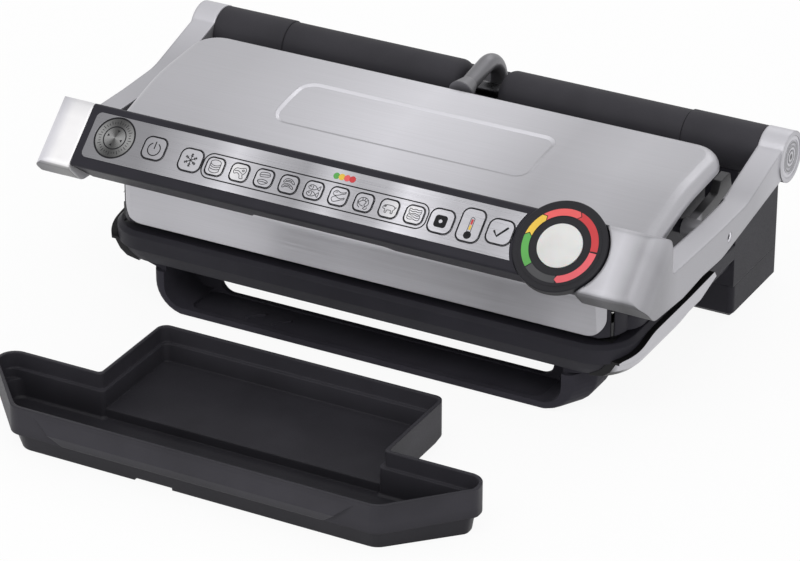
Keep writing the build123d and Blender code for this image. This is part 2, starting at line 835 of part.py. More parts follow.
def tub_pieces():
    solid = tub_outside(0)
    top_edges = solid.faces().sort_by(Axis.Z)[-1].edges()
    top_edges = [e for e in top_edges if e.center().Y < housing_front - 1]
    solid = chamfer(top_edges, 3.0)
    cavity = block(-cavity_half, cavity_half, cavity_front, cavity_back, cavity_floor, 200)
    well_back = block(-cavity_half, cavity_half, cavity_back + 6, housing_front - 4, cavity_floor, rim_top - 6)
    tub = solid - cavity - well_back
    drain_y = cavity_front + plate_fit + 4 + drain_width / 2
    chute = block(-drain_half - 3, drain_half + 3, drain_y - drain_width / 2 - 1, drain_y + drain_width / 2 + 3, 0, 200)
    tub = tub - chute
    support_top = rim_top - 0.5 - rib_height - 1.0 - plate_thickness
    for sx in (-1, 1):
        for y in (cavity_front + 12, cavity_back - 12):
            post = block(sx * 170 - 6, sx * 170 + 6, y - 5, y + 5, cavity_floor, support_top)
            tub = tub + post
    pieces["base_tub"] = tub
    pieces["lower_plate"] = grill_plate(True)
    heater_z = support_top - heater_radius
    pieces["lower_heater"] = heater(heater_z)
    shelf = heater_z - heater_radius - reflector_thickness
    tray = reflector(shelf, False)
    for sx in (-1, 1):
        for y in (cavity_front + 12, cavity_back - 12):
            tray = tray - block(sx * 170 - 6.2, sx * 170 + 6.2, y - 5.2, y + 5.2, 0, 200)
    pieces["lower_reflector"] = tray

    skin = tub_outside(trim_proud) - tub_outside(0)
    crescent = from_side(
        [
            (tub_front - 8, 26, 0),
            (-150, 38, 60),
            (-100, 41.5, 60),
            (-52, 54, 0),
            (-55, 58.5, 0),
            (-95, 57.5, 60),
            (-150, 57.5, 60),
            (tub_front + 9, 50, 12),
            (tub_front - 8, 36, 0),
        ],
        0, beyond,
    )
    trim = skin & crescent & block(trim_tip, beyond, tub_front + 8, 0, 0, beyond)
    trim = biggest(trim)
    pieces["side_trim_right"] = trim
    pieces["side_trim_left"] = mirrored(trim)


def housing_pieces():
    side = [
        (housing_front, parting_z, 0),
        (housing_front, housing_top, 0),
        (housing_back - 14, housing_top, 0),
        (housing_back, housing_top - 14, 0),
        (housing_back, parting_z, 0),
    ]
    shell = from_side(side, -housing_half, housing_half)
    shell = shell - bar(-seam_x, seam_x, 0, axis_z, cover_radius)
    for sx in (-1, 1):
        x0, x1 = sorted((sx * seam_x, sx * (housing_half + 1)))
        shell = shell - bar(x0, x1, 0, axis_z, sleeve_radius)
    slot = bar(-tube_gap / 2, tube_gap / 2, 0, axis_z, conduit_slot)
    shell = shell - slot
    vertical = [e for e in shell.edges().filter_by(Axis.Z) if e.center().Y > housing_back - 1]
    shell = fillet(vertical, 6.0)
    for index in range(9):
        x = -64 + index * 16
        vent = block(x - 2, x + 2, housing_back - 3, housing_back + 1, 44, 84)
        shell = shell - vent
    inlet = Pos(120, housing_back, 50) * Rot(90, 0, 0) * Cylinder(8.0, 12)
    shell = shell - inlet
    pieces["rear_housing"] = shell
    low = from_top(
        [
            (-housing_half, housing_front, 4),
            (housing_half, housing_front, 4),
            (housing_half, housing_back, 6),
            (-housing_half, housing_back, 6),
        ],
        pad_height, parting_z,
    )
    bottom_edges = low.faces().sort_by(Axis.Z)[0].edges()
    low = chamfer(bottom_edges, 3.0)
    arch = from_front(
        [(-120, 0, 0), (-112, 14, 8), (112, 14, 8), (120, 0, 0)],
        housing_front - 1, housing_back + 1,
    )
    low = low - arch
    pieces["rear_base"] = low
    gland = Pos(120, housing_back - 1.0, 50) * Rot(90, 0, 0) * Cylinder(8.0, 10)
    gland = gland - Pos(120, housing_back, 50) * Rot(90, 0, 0) * Cylinder(3.6, 14)
    pieces["cord_gland"] = gland


def foot_outline(half, front, back):
    """Plan outline of the foot frame with its slanted front corners."""
    return [
        (-half, back, 0),
        (-half, front + foot_chamfer_y, 6),
        (-half + foot_chamfer_x, front, 6),
        (half - foot_chamfer_x, front, 6),
        (half, front + foot_chamfer_y, 6),
        (half, back, 0),
    ]


def foot_pieces():
    radius = foot_round
    sections = []
    for index in range(8):
        turn = math.radians(12.0 + 78.0 * index / 7)
        height = pad_height + radius * (1 - math.cos(turn)) - radius * (1 - math.cos(math.radians(12)))
        inset = radius * (1 - math.sin(turn))
        sections.append((height, inset))
    sections.append((tub_low - 4, 0.0))
    frame = None
    for index in range(len(sections) - 1):
        z0, inset0 = sections[index]
        z1, inset1 = sections[index + 1]
        low = Plane.XY.offset(z0) * outline(foot_outline(foot_half - inset0, foot_front, foot_back))
        high = Plane.XY.offset(z1) * outline(foot_outline(foot_half - inset1, foot_front, foot_back))
        layer = loft(Sketch() + [low, high], ruled=True)
        frame = layer if frame is None else frame + layer
    under = Plane.XY.offset(tub_low - 4) * outline(foot_outline(foot_half - 2, foot_front + 3, foot_back))
    over = Plane.XY.offset(tub_low) * outline(foot_outline(foot_half + 12, foot_front + 3, foot_back))
    frame = frame + loft(Sketch() + [under, over], ruled=True)
    mouth_half = foot_half - foot_chamfer_x - foot_lip
    mouth = from_front(
        [
            (-mouth_half, foot_lip, foot_round - foot_lip),
            (mouth_half, foot_lip, foot_round - foot_lip),
            (mouth_half, tub_low + 20, 0),
            (-mouth_half, tub_low + 20, 0),
        ],
        foot_front - 20, foot_back - 4,
    )
    frame = frame - mouth
    opening = from_front(
        [
            (-slot_half, foot_strap, slot_corner),
            (slot_half, foot_strap, slot_corner),
            (slot_half, tub_low + 20, 0),
            (-slot_half, tub_low + 20, 0),
        ],
        foot_front - 20, foot_back + 20,
    )
    frame = frame - (opening & block(-beyond, beyond, foot_back - 5, foot_back + 20, 0, beyond))
    trough = from_top(
        [
            (-slot_half - 6, foot_front + 5, 8),
            (slot_half + 6, foot_front + 5, 8),
            (slot_half + 6, foot_back - 4, 4),
            (-slot_half - 6, foot_back - 4, 4),
        ],
        foot_floor, tub_low - 9,
    )
    frame = frame - trough
    for shift in (0, 20):
        ring = Pos(-80 + shift, foot_back - 32, foot_floor + 0.5) * (Cylinder(15, 1.6) - Cylinder(13, 3))
        arc = ring & block(-110, -84 + shift, foot_back - 29, foot_back - 10, 0, 20)
        frame = frame + arc
    pieces["foot_frame"] = biggest(frame)
    pads = []
    for x in (-foot_half + 42, foot_half - 42):
        pads.append(Pos(x, (foot_front + foot_back) / 2, pad_height / 2) * Cylinder(pad_radius, pad_height))
    for x in (-housing_half + 30, housing_half - 30):
        y = (housing_front + housing_back) / 2
        pads.append(Pos(x, y, pad_height / 2) * Cylinder(pad_radius, pad_height))
    pieces["rubber_feet"] = Compound(children=pads)


# Drip tray

def tray_plan(inset, side_inset):
    """Plan outline of the tray: narrow at the back, wings at the front."""
    back = tray_back - inset
    wing = tray_wing_back - inset
    half = tray_half - inset
    wide = tray_wing_half - inset - side_inset
    front_half = tray_front_half - (inset + side_inset) * 0.6
    front = tray_front + tray_bulge + inset + side_inset
    return [
        (-half, back, 7 - inset * 0.6),
        (-half, wing, 3),
        (-wide, wing, 12 - inset),
        (-wide, tray_side_front, 6),
        (-front_half, front, 12),
        (front_half, front, 12),
        (wide, tray_side_front, 6),
        (wide, wing, 12 - inset),
        (half, wing, 3),
        (half, back, 7 - inset * 0.6),
    ]


def tray_layer(low, low_insets, high, high_insets):
    """Layer of the tray between two heights, each with its own insets."""
    below = Plane.XY.offset(low) * outline(tray_plan(*low_insets))
    over = Plane.XY.offset(high) * outline(tray_plan(*high_insets))
    return loft(Sketch() + [below, over], ruled=True)


def tray_pieces():
    upper = from_top(tray_plan(0, 0), tray_step_z, tray_top)
    lower = tray_layer(0, (0, tray_step + tray_taper), tray_step_z, (0, tray_step))
    solid = upper + lower
    wedge = from_side(
        [
            (tray_front + tray_bulge + 1, tray_bulge_high, 0),
            (tray_front + tray_bulge, tray_bulge_high, 0),
            (tray_front, tray_bulge_z, 0),
            (tray_front + tray_bulge, tray_step_z, 0),
            (tray_front + tray_bulge + 1, tray_step_z, 0),
        ],
        -tray_bulge_half, tray_bulge_half,
    )
    face = from_front(
        [
            (-tray_bulge_half, tray_top, 0),
            (-tray_bulge_half + 26, tray_step_z, 0),
            (tray_bulge_half - 26, tray_step_z, 0),
            (tray_bulge_half, tray_top, 0),
        ],
        tray_front - 1, tray_front + 20,
    )
    solid = solid + (wedge & face)
    rear = block(-beyond, beyond, tray_wing_back - 0.01, 0, -5, tray_lift)
    heel = from_side(
        [
            (tray_back - 14, tray_lift - 1, 0),
            (tray_back - 14, tray_lift, 0),
            (tray_back + 1, tray_lift + 2.4, 0),
            (tray_back + 1, tray_lift - 1, 0),
        ],
        -beyond, beyond,
    )
    solid = solid - rear - heel
    floor = tray_wall + 0.4
    deep = tray_wall + tray_ledge
    step_top = tray_step_z + tray_wall
    side = tray_step + tray_taper - tray_ledge
    inside = tray_layer(floor, (deep + 1.5, side), floor + 1.5, (deep, side))
    inside = inside + tray_layer(floor + 1.5, (deep, side), step_top, (deep, side - tray_taper))
    rear_floor = block(-beyond, beyond, tray_wing_back - tray_wall, 0, 0, tray_lift + tray_wall)
    inside = inside - rear_floor
    middle = tray_layer(step_top, (deep, -tray_ledge), tray_ledge_z, (deep, -tray_ledge))
    above = tray_layer(tray_ledge_z, (tray_wall, 0), tray_top + 5, (tray_wall, 0))
    solid = solid - inside - middle - above
    notch = block(-46, -18, tray_front - 1, tray_front + 14, -1, 2)
    solid = solid - notch
    pieces["drip_tray"] = Pos(tray_x, 0, 0) * biggest(solid)


hinge_pieces()
handle_pieces()
ring_pieces()
lid_pieces()
tub_pieces()
housing_pieces()
foot_pieces()
tray_pieces()

# Centre the whole on the origin, front to back, with the tray standing out in front
front_limit = tray_front
back_limit = housing_back
place_y = -(front_limit + back_limit) / 2
for name, shape in pieces.items():
    solids = [Pos(0, place_y, 0) * solid for solid in shape.solids()]
    node = solids[0] if len(solids) == 1 else Compound(solids)
    node.label = name
    export_step(node, f"parts/{name}.step")
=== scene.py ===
# %% [markdown]
# # A contact grill, finished in Blender
# The shapes of the grill are solids that were made elsewhere. They arrive here
# as fixed parts, one object each, already in their places and in metres.
# This lesson gives them their finishes, adds the printed drawings on the
# control panel and the small things that are too fine for solids, and sets up
# a plain studio. X is to the right, Y to the back and Z up.

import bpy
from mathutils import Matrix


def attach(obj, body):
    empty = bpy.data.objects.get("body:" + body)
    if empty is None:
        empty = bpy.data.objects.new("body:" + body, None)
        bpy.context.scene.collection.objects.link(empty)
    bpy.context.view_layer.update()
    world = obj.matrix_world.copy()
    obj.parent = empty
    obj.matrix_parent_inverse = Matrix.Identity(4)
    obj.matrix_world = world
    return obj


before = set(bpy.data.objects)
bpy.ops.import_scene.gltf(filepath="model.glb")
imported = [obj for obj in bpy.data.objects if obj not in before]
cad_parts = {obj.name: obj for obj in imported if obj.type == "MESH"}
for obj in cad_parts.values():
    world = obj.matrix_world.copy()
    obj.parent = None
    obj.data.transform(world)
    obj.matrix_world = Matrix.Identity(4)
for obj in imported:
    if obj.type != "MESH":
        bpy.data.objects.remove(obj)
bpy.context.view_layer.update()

# %% [markdown]
# Meshes are worked out with numpy, as whole arrays of points. Blender only
# gets the finished points and faces. One helper turns them into an object and
# lets it ride on a body of the grill, so that it moves as the joints do.

# %% Turn arrays into an object
import math

import bpy
import numpy as np
from mathutils import Matrix


def make_piece(name, points, faces, finish, body):
    """Object from an array of points in metres and lists of corner numbers."""
    mesh = bpy.data.meshes.new(name)
    mesh.from_pydata(points.tolist(), [], [list(face) for face in faces])
    mesh.update()
    piece = bpy.data.objects.new(name, mesh)
    bpy.context.scene.collection.objects.link(piece)
    mesh.materials.append(finish)
    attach(piece, body)


# %% [markdown]
# The camera stands far off, a little to the right and above, with a long lens,
# so that parallel edges stay nearly parallel. Its three directions are worked
# out from how far it is turned and how far it looks down.

# %% Camera
turn = math.radians(28.25)
down = math.radians(27.49)
roll = math.radians(0.1)
target = np.array([-0.0683, 0.1685, -0.0401])
distance = 2.8913
sensor_mm, lens_mm = 36.0, 180.09

right = np.array([math.cos(turn), math.sin(turn), 0.0])
forward = np.array([
    -math.sin(turn) * math.cos(down), math.cos(turn) * math.cos(down), -math.sin(down),
])
upward = np.cross(right, forward)
right, upward = (
    math.cos(roll) * right + math.sin(roll) * upward,
    math.cos(roll) * upward - math.sin(roll) * right,
)
placed = np.eye(4)
placed[:3, 0] = right
placed[:3, 1] = upward
placed[:3, 2] = -forward
placed[:3, 3] = target - forward * distance

camera_data = bpy.data.cameras.new("camera")
camera_data.sensor_width = sensor_mm
camera_data.lens = lens_mm
camera_data.clip_end = 50.0
camera = bpy.data.objects.new("camera", camera_data)
bpy.context.scene.collection.objects.link(camera)
camera.matrix_world = Matrix(placed.tolist())
bpy.context.scene.camera = camera
bpy.context.scene.view_settings.view_transform = "Standard"
print("camera at", placed[:3, 3].round(3))

# %% [markdown]
# A finish is a small network of nodes. Every finish here starts the same way,
# from the object's own coordinates, so the pattern stays put on the part when
# the part moves. Plain values are set on the main shader itself.

# %% Start a finish
def start_finish(name, colour, roughness, metallic=0.0):
    """New material with one main shader, its plain values set on the shader itself."""
    finish = bpy.data.materials.new(name)
    finish.use_nodes = True
    nodes = finish.node_tree.nodes
    shader = nodes["Principled BSDF"]
    shader.inputs["Base Color"].default_value = (*colour, 1.0)
    shader.inputs["Roughness"].default_value = roughness
    shader.inputs["Metallic"].default_value = metallic
    return finish, nodes, finish.node_tree.links, shader


def set_plain(finish, socket, value):
    """Sets one more plain value on the finish's own shader."""
    finish.node_tree.nodes["Principled BSDF"].inputs[socket].default_value = value


def own(nodes, kind="Object"):
    """A point's place on its object, or with Normal the way that its face looks."""
    return nodes.new("ShaderNodeTexCoord").outputs[kind]


def stretched_noise(nodes, links, stretch, scale, detail=2.0):
    """Noise on object coordinates, pulled out along the axes whose stretch is small."""
    mapping = nodes.new("ShaderNodeMapping")
    mapping.inputs["Scale"].default_value = stretch
    noise = nodes.new("ShaderNodeTexNoise")
    noise.inputs["Scale"].default_value = scale
    noise.inputs["Detail"].default_value = detail
    links.new(own(nodes), mapping.inputs["Vector"])
    links.new(mapping.outputs["Vector"], noise.inputs["Vector"])
    return noise.outputs["Fac"]


even = (1.0, 1.0, 1.0)

# %% [markdown]
# Noise stays mostly near its middle, so the ends of its useful range are 0.3
# and 0.7. A straight map turns it into a roughness, and a ramp into a colour.

# %% Ranges and ramps
noise_range = (0.3, 0.7)


def mapped(nodes, links, value, source, goal=(0.0, 1.0)):
    """Straight map of a value from one range to another, held at both ends."""
    scaled = nodes.new("ShaderNodeMapRange")
    for title, ends in (("From", source), ("To", goal)):
        scaled.inputs[f"{title} Min"].default_value = ends[0]
        scaled.inputs[f"{title} Max"].default_value = ends[1]
    links.new(value, scaled.inputs["Value"])
    return scaled.outputs["Result"]


def between(nodes, links, noise, low, high):
    """Noise turned into a value from low to high."""
    return mapped(nodes, links, noise, noise_range, (low, high))


def ramp(nodes, links, share, stops):
    """Colour for a share from 0 to 1, in straight lines between stops of share and colour."""
    shade = nodes.new("ShaderNodeValToRGB")
    points = shade.color_ramp.elements
    while len(points) < len(stops):
        points.new(0.5)
    for point, (place, colour) in zip(points, stops):
        point.position = place
        point.color = (*colour, 1.0)
    links.new(share, shade.inputs["Fac"])
    return shade.outputs["Color"]


def shade_range(nodes, links, noise, dark, pale):
    """Noise turned into a colour from dark to pale."""
    return ramp(nodes, links, noise, list(zip(noise_range, (dark, pale))))


print("noise is read from", noise_range[0], "to", noise_range[1])

# %% [markdown]
# Light lies on metal in broad soft bands, and here these bands are painted into the colour as painted reflections.
# A band is given as a place with the tone that is seen there, and tones between two places blend. Bare metal has a
# little blue in it. A ramp that only darkens another colour stays plain grey, or the blue would count twice.

# %% Tones that follow a place
def plain(tone):
    """Even grey."""
    return (min(1.0, tone),) * 3


def cool(tone):
    """Grey with a little blue in it, as bare metal has."""
    return (min(1.0, tone), min(1.0, tone * 0.99), min(1.0, tone * 1.05))


def component(nodes, links, axis, kind="Object"):
    """One component of the place on the object, or of the way that the face looks."""
    split = nodes.new("ShaderNodeSeparateXYZ")
    links.new(own(nodes, kind), split.inputs["Vector"])
    return split.outputs[axis]


def toned(nodes, links, value, stops, tint=cool):
    """Grey that follows a value: stops of value and tone, straight between them, held past them."""
    stops = sorted(stops)
    start, length = stops[0][0], stops[-1][0] - stops[0][0]
    share = mapped(nodes, links, value, (start, start + length))
    return ramp(nodes, links, share, [((place - start) / length, tint(tone)) for place, tone in stops])


def along_axis(nodes, links, axis, stops, tint=cool):
    """Grey that follows one object coordinate, in metres."""
    return toned(nodes, links, component(nodes, links, axis), stops, tint)


def multiplied(nodes, links, first, second):
    """Product of two colours."""
    mix = nodes.new("ShaderNodeMix")
    mix.data_type = "RGBA"
    mix.blend_type = "MULTIPLY"
    mix.inputs["Factor"].default_value = 1.0
    links.new(first, mix.inputs["A"])
    links.new(second, mix.inputs["B"])
    return mix.outputs["Result"]


print("bare metal at half tone:", cool(0.5))

# %% [markdown]
# Cast and moulded edges are a little round, and that roundness catches the
# light. A bevel node rounds them in the light alone, and a faint bump adds the
# grain of the surface. Two more helpers do sums on numbers and on vectors.

# %% Relief and sums
def add_bump(nodes, links, shader, height, strength, depth, edge=0.0004):
    """Small relief from a noise, on edges that catch the light as if rounded by the given radius."""
    bump = nodes.new("ShaderNodeBump")
    rounded = nodes.new("ShaderNodeBevel")
    rounded.samples = 6
    rounded.inputs["Radius"].default_value = edge
    links.new(rounded.outputs["Normal"], bump.inputs["Normal"])
    bump.inputs["Strength"].default_value = strength
    bump.inputs["Distance"].default_value = depth
    links.new(height, bump.inputs["Height"])
    links.new(bump.outputs["Normal"], shader.inputs["Normal"])


def number_step(nodes, links, operation, value, other=None):
    """Result of one operation on a linked number and, where given, a fixed one."""
    step = nodes.new("ShaderNodeMath")
    step.operation = operation
    links.new(value, step.inputs[0])
    if other is not None:
        step.inputs[1].default_value = other
    return step.outputs["Value"]


def vector_step(nodes, links, operation, vector, other=even, output="Vector"):
    """Result of one operation on a linked vector and a fixed one."""
    step = nodes.new("ShaderNodeVectorMath")
    step.operation = operation
    links.new(vector, step.inputs[0])
    step.inputs[1].default_value = other
    return step.outputs[output]


# %% [markdown]
# Brushed steel is covered with fine scratches that all run one way. They make the shine wide across them and
# narrow along them. Noise that is pulled out along X gives the scratches, in the shade, in the roughness and as a
# faint relief. Broad bands across X are a painted reflection of the studio that a sheet mirrors.

# %% Brushed steel
def brushed_steel(name, roughness, bands, shine=1.0):
    """Steel brushed along X: shade, roughness and relief follow one stretched noise.

    Bands are painted reflections: places along X in metres with the tone of light that is seen there. The noise
    makes each tone a few hundredths darker or paler.
    """
    level, streak = 0.95, 0.035
    finish, nodes, links, shader = start_finish(name, cool(bands[0][1]), roughness, shine)
    fine = stretched_noise(nodes, links, (16.0, 1500.0, 1500.0), 1.0, 3.0)
    scratches = shade_range(nodes, links, fine, plain(level * (1 - streak)), plain(level * (1 + streak)))
    shade = multiplied(nodes, links, scratches, along_axis(nodes, links, "X", bands))
    links.new(shade, shader.inputs["Base Color"])
    links.new(between(nodes, links, fine, roughness - 0.04, roughness + 0.05), shader.inputs["Roughness"])
    add_bump(nodes, links, shader, fine, 0.12, 0.00001)
    shader.inputs["Anisotropic"].default_value = 0.55
    tangent = nodes.new("ShaderNodeTangent")
    tangent.direction_type = "RADIAL"
    tangent.axis = "X"
    links.new(tangent.outputs["Tangent"], shader.inputs["Tangent"])
    return finish


def panel_painted_reflections(gain):
    """Painted reflections: soft bands of light across the control panel, each brighter by the same gain."""
    seen = (
        (-0.193, 0.33), (-0.150, 0.38), (-0.122, 0.56), (-0.100, 0.66), (-0.082, 0.92),
        (-0.058, 0.62), (-0.030, 0.48), (-0.007, 0.82), (0.010, 0.58), (0.030, 0.62),
        (0.046, 1.0), (0.062, 0.86), (0.080, 0.66), (0.110, 0.56), (0.137, 0.66),
    )
    return [(place, min(1.0, tone * gain)) for place, tone in seen]


# Painted reflections on the lid's sheet: paler bands where it mirrors the studio's light, darker where it mirrors
# less.
lid_painted_reflections = [
    (-0.203, 0.62), (-0.196, 0.52), (-0.150, 0.54), (-0.080, 0.64), (-0.010, 0.78),
    (0.050, 0.66), (0.105, 0.49), (0.150, 0.53), (0.190, 0.46), (0.203, 0.50),
]
sheet_steel = brushed_steel("brushed_sheet", 0.34, lid_painted_reflections, shine=0.60)
inlay_steel = brushed_steel("brushed_inlay", 0.30, panel_painted_reflections(0.92))
print("steel finishes:", sheet_steel.name, inlay_steel.name)

# %% [markdown]
# The arms are cast and painted a satin silver. Metal paint is a grey with tiny
# flakes: a soft shine, no scratches, and a faint cloudy change of shade. The
# small metal parts are bare, with a fine even grain, and some are turned in
# rings.

# %% Silver paint and bare metal
def painted_silver(name, tone, roughness, bands=None, axis="X", edge=0.0006):
    """Half metallic grey with a fine flake and a wide, faint cloud, and soft bands where given."""
    finish, nodes, links, shader = start_finish(name, plain(tone), roughness, 0.75)
    cloud = stretched_noise(nodes, links, even, 40.0, 3.0)
    level, tint = (0.95, plain) if bands else (tone, cool)
    shade = shade_range(nodes, links, cloud, tint(level * 0.96), tint(level * 1.04))
    if bands:
        shade = multiplied(nodes, links, shade, along_axis(nodes, links, axis, bands))
    links.new(shade, shader.inputs["Base Color"])
    flake = stretched_noise(nodes, links, even, 2600.0, 1.0)
    links.new(between(nodes, links, flake, roughness - 0.05, roughness + 0.06), shader.inputs["Roughness"])
    add_bump(nodes, links, shader, flake, 0.10, 0.00002, edge)
    return finish


def plain_metal(name, colour, roughness):
    """Bare metal with a fine, even grain."""
    finish, nodes, links, shader = start_finish(name, colour, roughness, 1.0)
    grain = stretched_noise(nodes, links, even, 900.0)
    links.new(between(nodes, links, grain, roughness - 0.05, roughness + 0.06), shader.inputs["Roughness"])
    add_bump(nodes, links, shader, grain, 0.15, 0.00003)
    return finish


def ringed_metal(name, centre, rings):
    """Metal with rings round an axis along X: a tone for each distance from it, in metres."""
    finish = plain_metal(name, cool(0.5), 0.34)
    nodes, links = finish.node_tree.nodes, finish.node_tree.links
    offset = vector_step(nodes, links, "SUBTRACT", own(nodes), (0.0, *centre))
    flat = vector_step(nodes, links, "MULTIPLY", offset, (0.0, 1.0, 1.0))
    out = vector_step(nodes, links, "LENGTH", flat, output="Value")
    links.new(toned(nodes, links, out, rings), nodes["Principled BSDF"].inputs["Base Color"])
    return finish


conduit_grey = painted_silver("conduit_grey", 0.20, 0.40)
lever_bands = [(0.065, 0.46), (0.083, 0.42), (0.088, 0.08), (0.135, 0.07)]
lever_grey = painted_silver("lever_grey", 0.20, 0.42, bands=lever_bands, axis="Y")
shaft_steel = plain_metal("shaft_steel", (0.10, 0.10, 0.105), 0.30)
bright_metal = plain_metal("bright_metal", cool(0.78), 0.28)
heater_steel = plain_metal("heater_steel", (0.22, 0.21, 0.20), 0.50)
reflector_metal = plain_metal("reflector_metal", (0.72, 0.72, 0.71), 0.22)
pivot_y, pivot_z = 0.0715, 0.1100
screw_steel = ringed_metal("screw_steel", (pivot_y, pivot_z), [
    (0.0, 0.03), (0.0019, 0.04), (0.0022, 0.80), (0.0034, 0.70),
])
disc_metal = ringed_metal("disc_metal", (0.1685, 0.1275), [
    (0.0, 0.10), (0.0018, 0.14), (0.0028, 0.62), (0.0042, 0.20), (0.0056, 0.70), (0.0072, 0.18),
    (0.0086, 0.66), (0.0100, 0.14), (0.0114, 0.60), (0.0146, 0.56),
])
print("metals:", conduit_grey.name, screw_steel.name, disc_metal.name)

# %% [markdown]
# Each arm ends in a cap beside the panel. The cap rolls over, so soft bands of light run along X on it; they are
# painted reflections, and they blend into painted bands of sheen along Y on the arm behind it. Faces that look
# down get painted shade, as they face the table. The trims at the sides are silver on the outside only, and their
# edges are black.

# %% Paint of the arms and the trims
cap_end, arm_start = -0.034, -0.010


def arm_paint(name, tone, cap_painted_sheen):
    """Painted silver with painted reflections on the cap at its front, painted sheen along the arm and painted
    shade where a face looks down.
    """
    finish = painted_silver(name, tone, 0.48, bands=cap_painted_sheen, edge=0.0025)
    nodes, links = finish.node_tree.nodes, finish.node_tree.links
    shader = nodes["Principled BSDF"]
    on_cap = shader.inputs["Base Color"].links[0].from_socket
    arm_painted_sheen = [(arm_start, tone), (0.11, tone), (0.16, min(1.0, tone * 1.3)), (0.187, tone * 1.1)]
    mix = nodes.new("ShaderNodeMix")
    mix.data_type = "RGBA"
    links.new(on_cap, mix.inputs["A"])
    links.new(along_axis(nodes, links, "Y", arm_painted_sheen), mix.inputs["B"])
    links.new(along_axis(nodes, links, "Y", [(cap_end, 0.0), (arm_start, 1.0)]), mix.inputs["Factor"])
    looks_up = component(nodes, links, "Z", "Normal")
    painted_facing_shade = toned(nodes, links, looks_up, [(-0.55, 0.26), (-0.15, 0.50), (0.0, 0.90), (0.25, 1.0)], plain)
    links.new(multiplied(nodes, links, mix.outputs["Result"], painted_facing_shade), shader.inputs["Base Color"])
    return finish


def skin_paint(name, tone, edge_tone):
    """Silver on the faces that look sideways and black on the edges, as on a trim let into black plastic."""
    finish = painted_silver(name, tone, 0.40)
    nodes, links = finish.node_tree.nodes, finish.node_tree.links
    sideways = number_step(nodes, links, "ABSOLUTE", component(nodes, links, "X", "Normal"))
    shade = toned(nodes, links, sideways, [(0.60, edge_tone), (0.72, tone)])
    links.new(shade, nodes["Principled BSDF"].inputs["Base Color"])
    return finish


trim_silver = skin_paint("trim_silver", 0.52, 0.018)
# The left cap's painted reflections are much brighter than the right's: the two arms are lit and shaded copies of
# one silver paint.
left_arm_silver = arm_paint("left_arm_silver", 0.48, [
    (-0.230, 0.70), (-0.221, 0.84), (-0.212, 1.0), (-0.190, 1.0),
])
right_arm_silver = arm_paint("right_arm_silver", 0.47, [
    (0.150, 0.44), (0.172, 0.46), (0.188, 0.47), (0.199, 0.60), (0.206, 0.50), (0.213, 0.36), (0.230, 0.38),
])
print("silver paints:", left_arm_silver.name, right_arm_silver.name, trim_silver.name)

# %% [markdown]
# The black parts are moulded plastic. Each has a fine grain from its mould and a slightly blue black. The tray is
# paler than the housing, and painted shade makes it darker towards its foot. The foot frame has little shine.

# %% Moulded plastic, rubber and plate coating
def moulded_plastic(name, colour, roughness, grain_size, grain_depth, sheen=0.5, edge=0.0003, heights=None):
    """Plastic with a mould grain of the given size, in metres, a faint cloud, and painted shade by height where
    given.
    """
    finish, nodes, links, shader = start_finish(name, colour, roughness)
    shader.inputs["Specular IOR Level"].default_value = sheen
    grain = stretched_noise(nodes, links, even, 1.0 / grain_size)
    cloud = stretched_noise(nodes, links, even, 25.0, 3.0)
    dark = tuple(c * 0.88 for c in colour)
    pale = tuple(min(1.0, c * 1.14) for c in colour)
    shade = shade_range(nodes, links, cloud, dark, pale)
    if heights:
        shade = multiplied(nodes, links, shade, along_axis(nodes, links, "Z", heights, plain))
    links.new(shade, shader.inputs["Base Color"])
    links.new(between(nodes, links, grain, roughness - 0.06, roughness + 0.07), shader.inputs["Roughness"])
    add_bump(nodes, links, shader, grain, 0.30, grain_depth, edge)
    return finish


black_plastic = moulded_plastic("black_plastic", (0.0220, 0.0210, 0.0275), 0.50, 0.0007, 0.00002, 0.16, 0.0012)
tube_plastic = moulded_plastic("tube_plastic", (0.0400, 0.0385, 0.0450), 0.62, 0.0009, 0.00003, 0.16, 0.0008)
foot_plastic = moulded_plastic("foot_plastic", (0.0360, 0.0345, 0.0430), 0.58, 0.0007, 0.00002, 0.08, 0.0008)
set_plain(foot_plastic, "Specular Tint", (0.45, 0.44, 0.48, 1.0))
# The tray's heights carry painted shade: darker low down, paler on its upper facet.
tray_plastic = moulded_plastic(
    "tray_plastic", (0.0380, 0.0365, 0.0440), 0.46, 0.0008, 0.00002, 0.16, 0.0016,
    [(0.0, 0.50), (0.012, 0.70), (0.021, 0.92), (0.035, 0.85)],
)
bezel_black = moulded_plastic("bezel_black", (0.0150, 0.0145, 0.0180), 0.42, 0.0006, 0.00001, 0.22)
rubber = moulded_plastic("rubber", (0.020, 0.020, 0.021), 0.75, 0.0005, 0.00004, 0.3)
plate_coat = moulded_plastic("plate_coat", (0.022, 0.022, 0.023), 0.40, 0.0004, 0.00005)
dome_white = moulded_plastic("dome_white", (0.66, 0.66, 0.65), 0.45, 0.0006, 0.00003)
set_plain(dome_white, "Subsurface Weight", 0.25)
set_plain(dome_white, "Subsurface Scale", 0.002)
print("plastics:", black_plastic.name, tube_plastic.name, tray_plastic.name)

# %% [markdown]
# The light ring shows the state of the food, from green through yellow to red.
# Its segments are tinted clear plastic, so they get one finish with six tints.
# The keys are brushed like the panel and carry the same painted reflections, a little paler, and the drawings on
# them are a matt black ink.

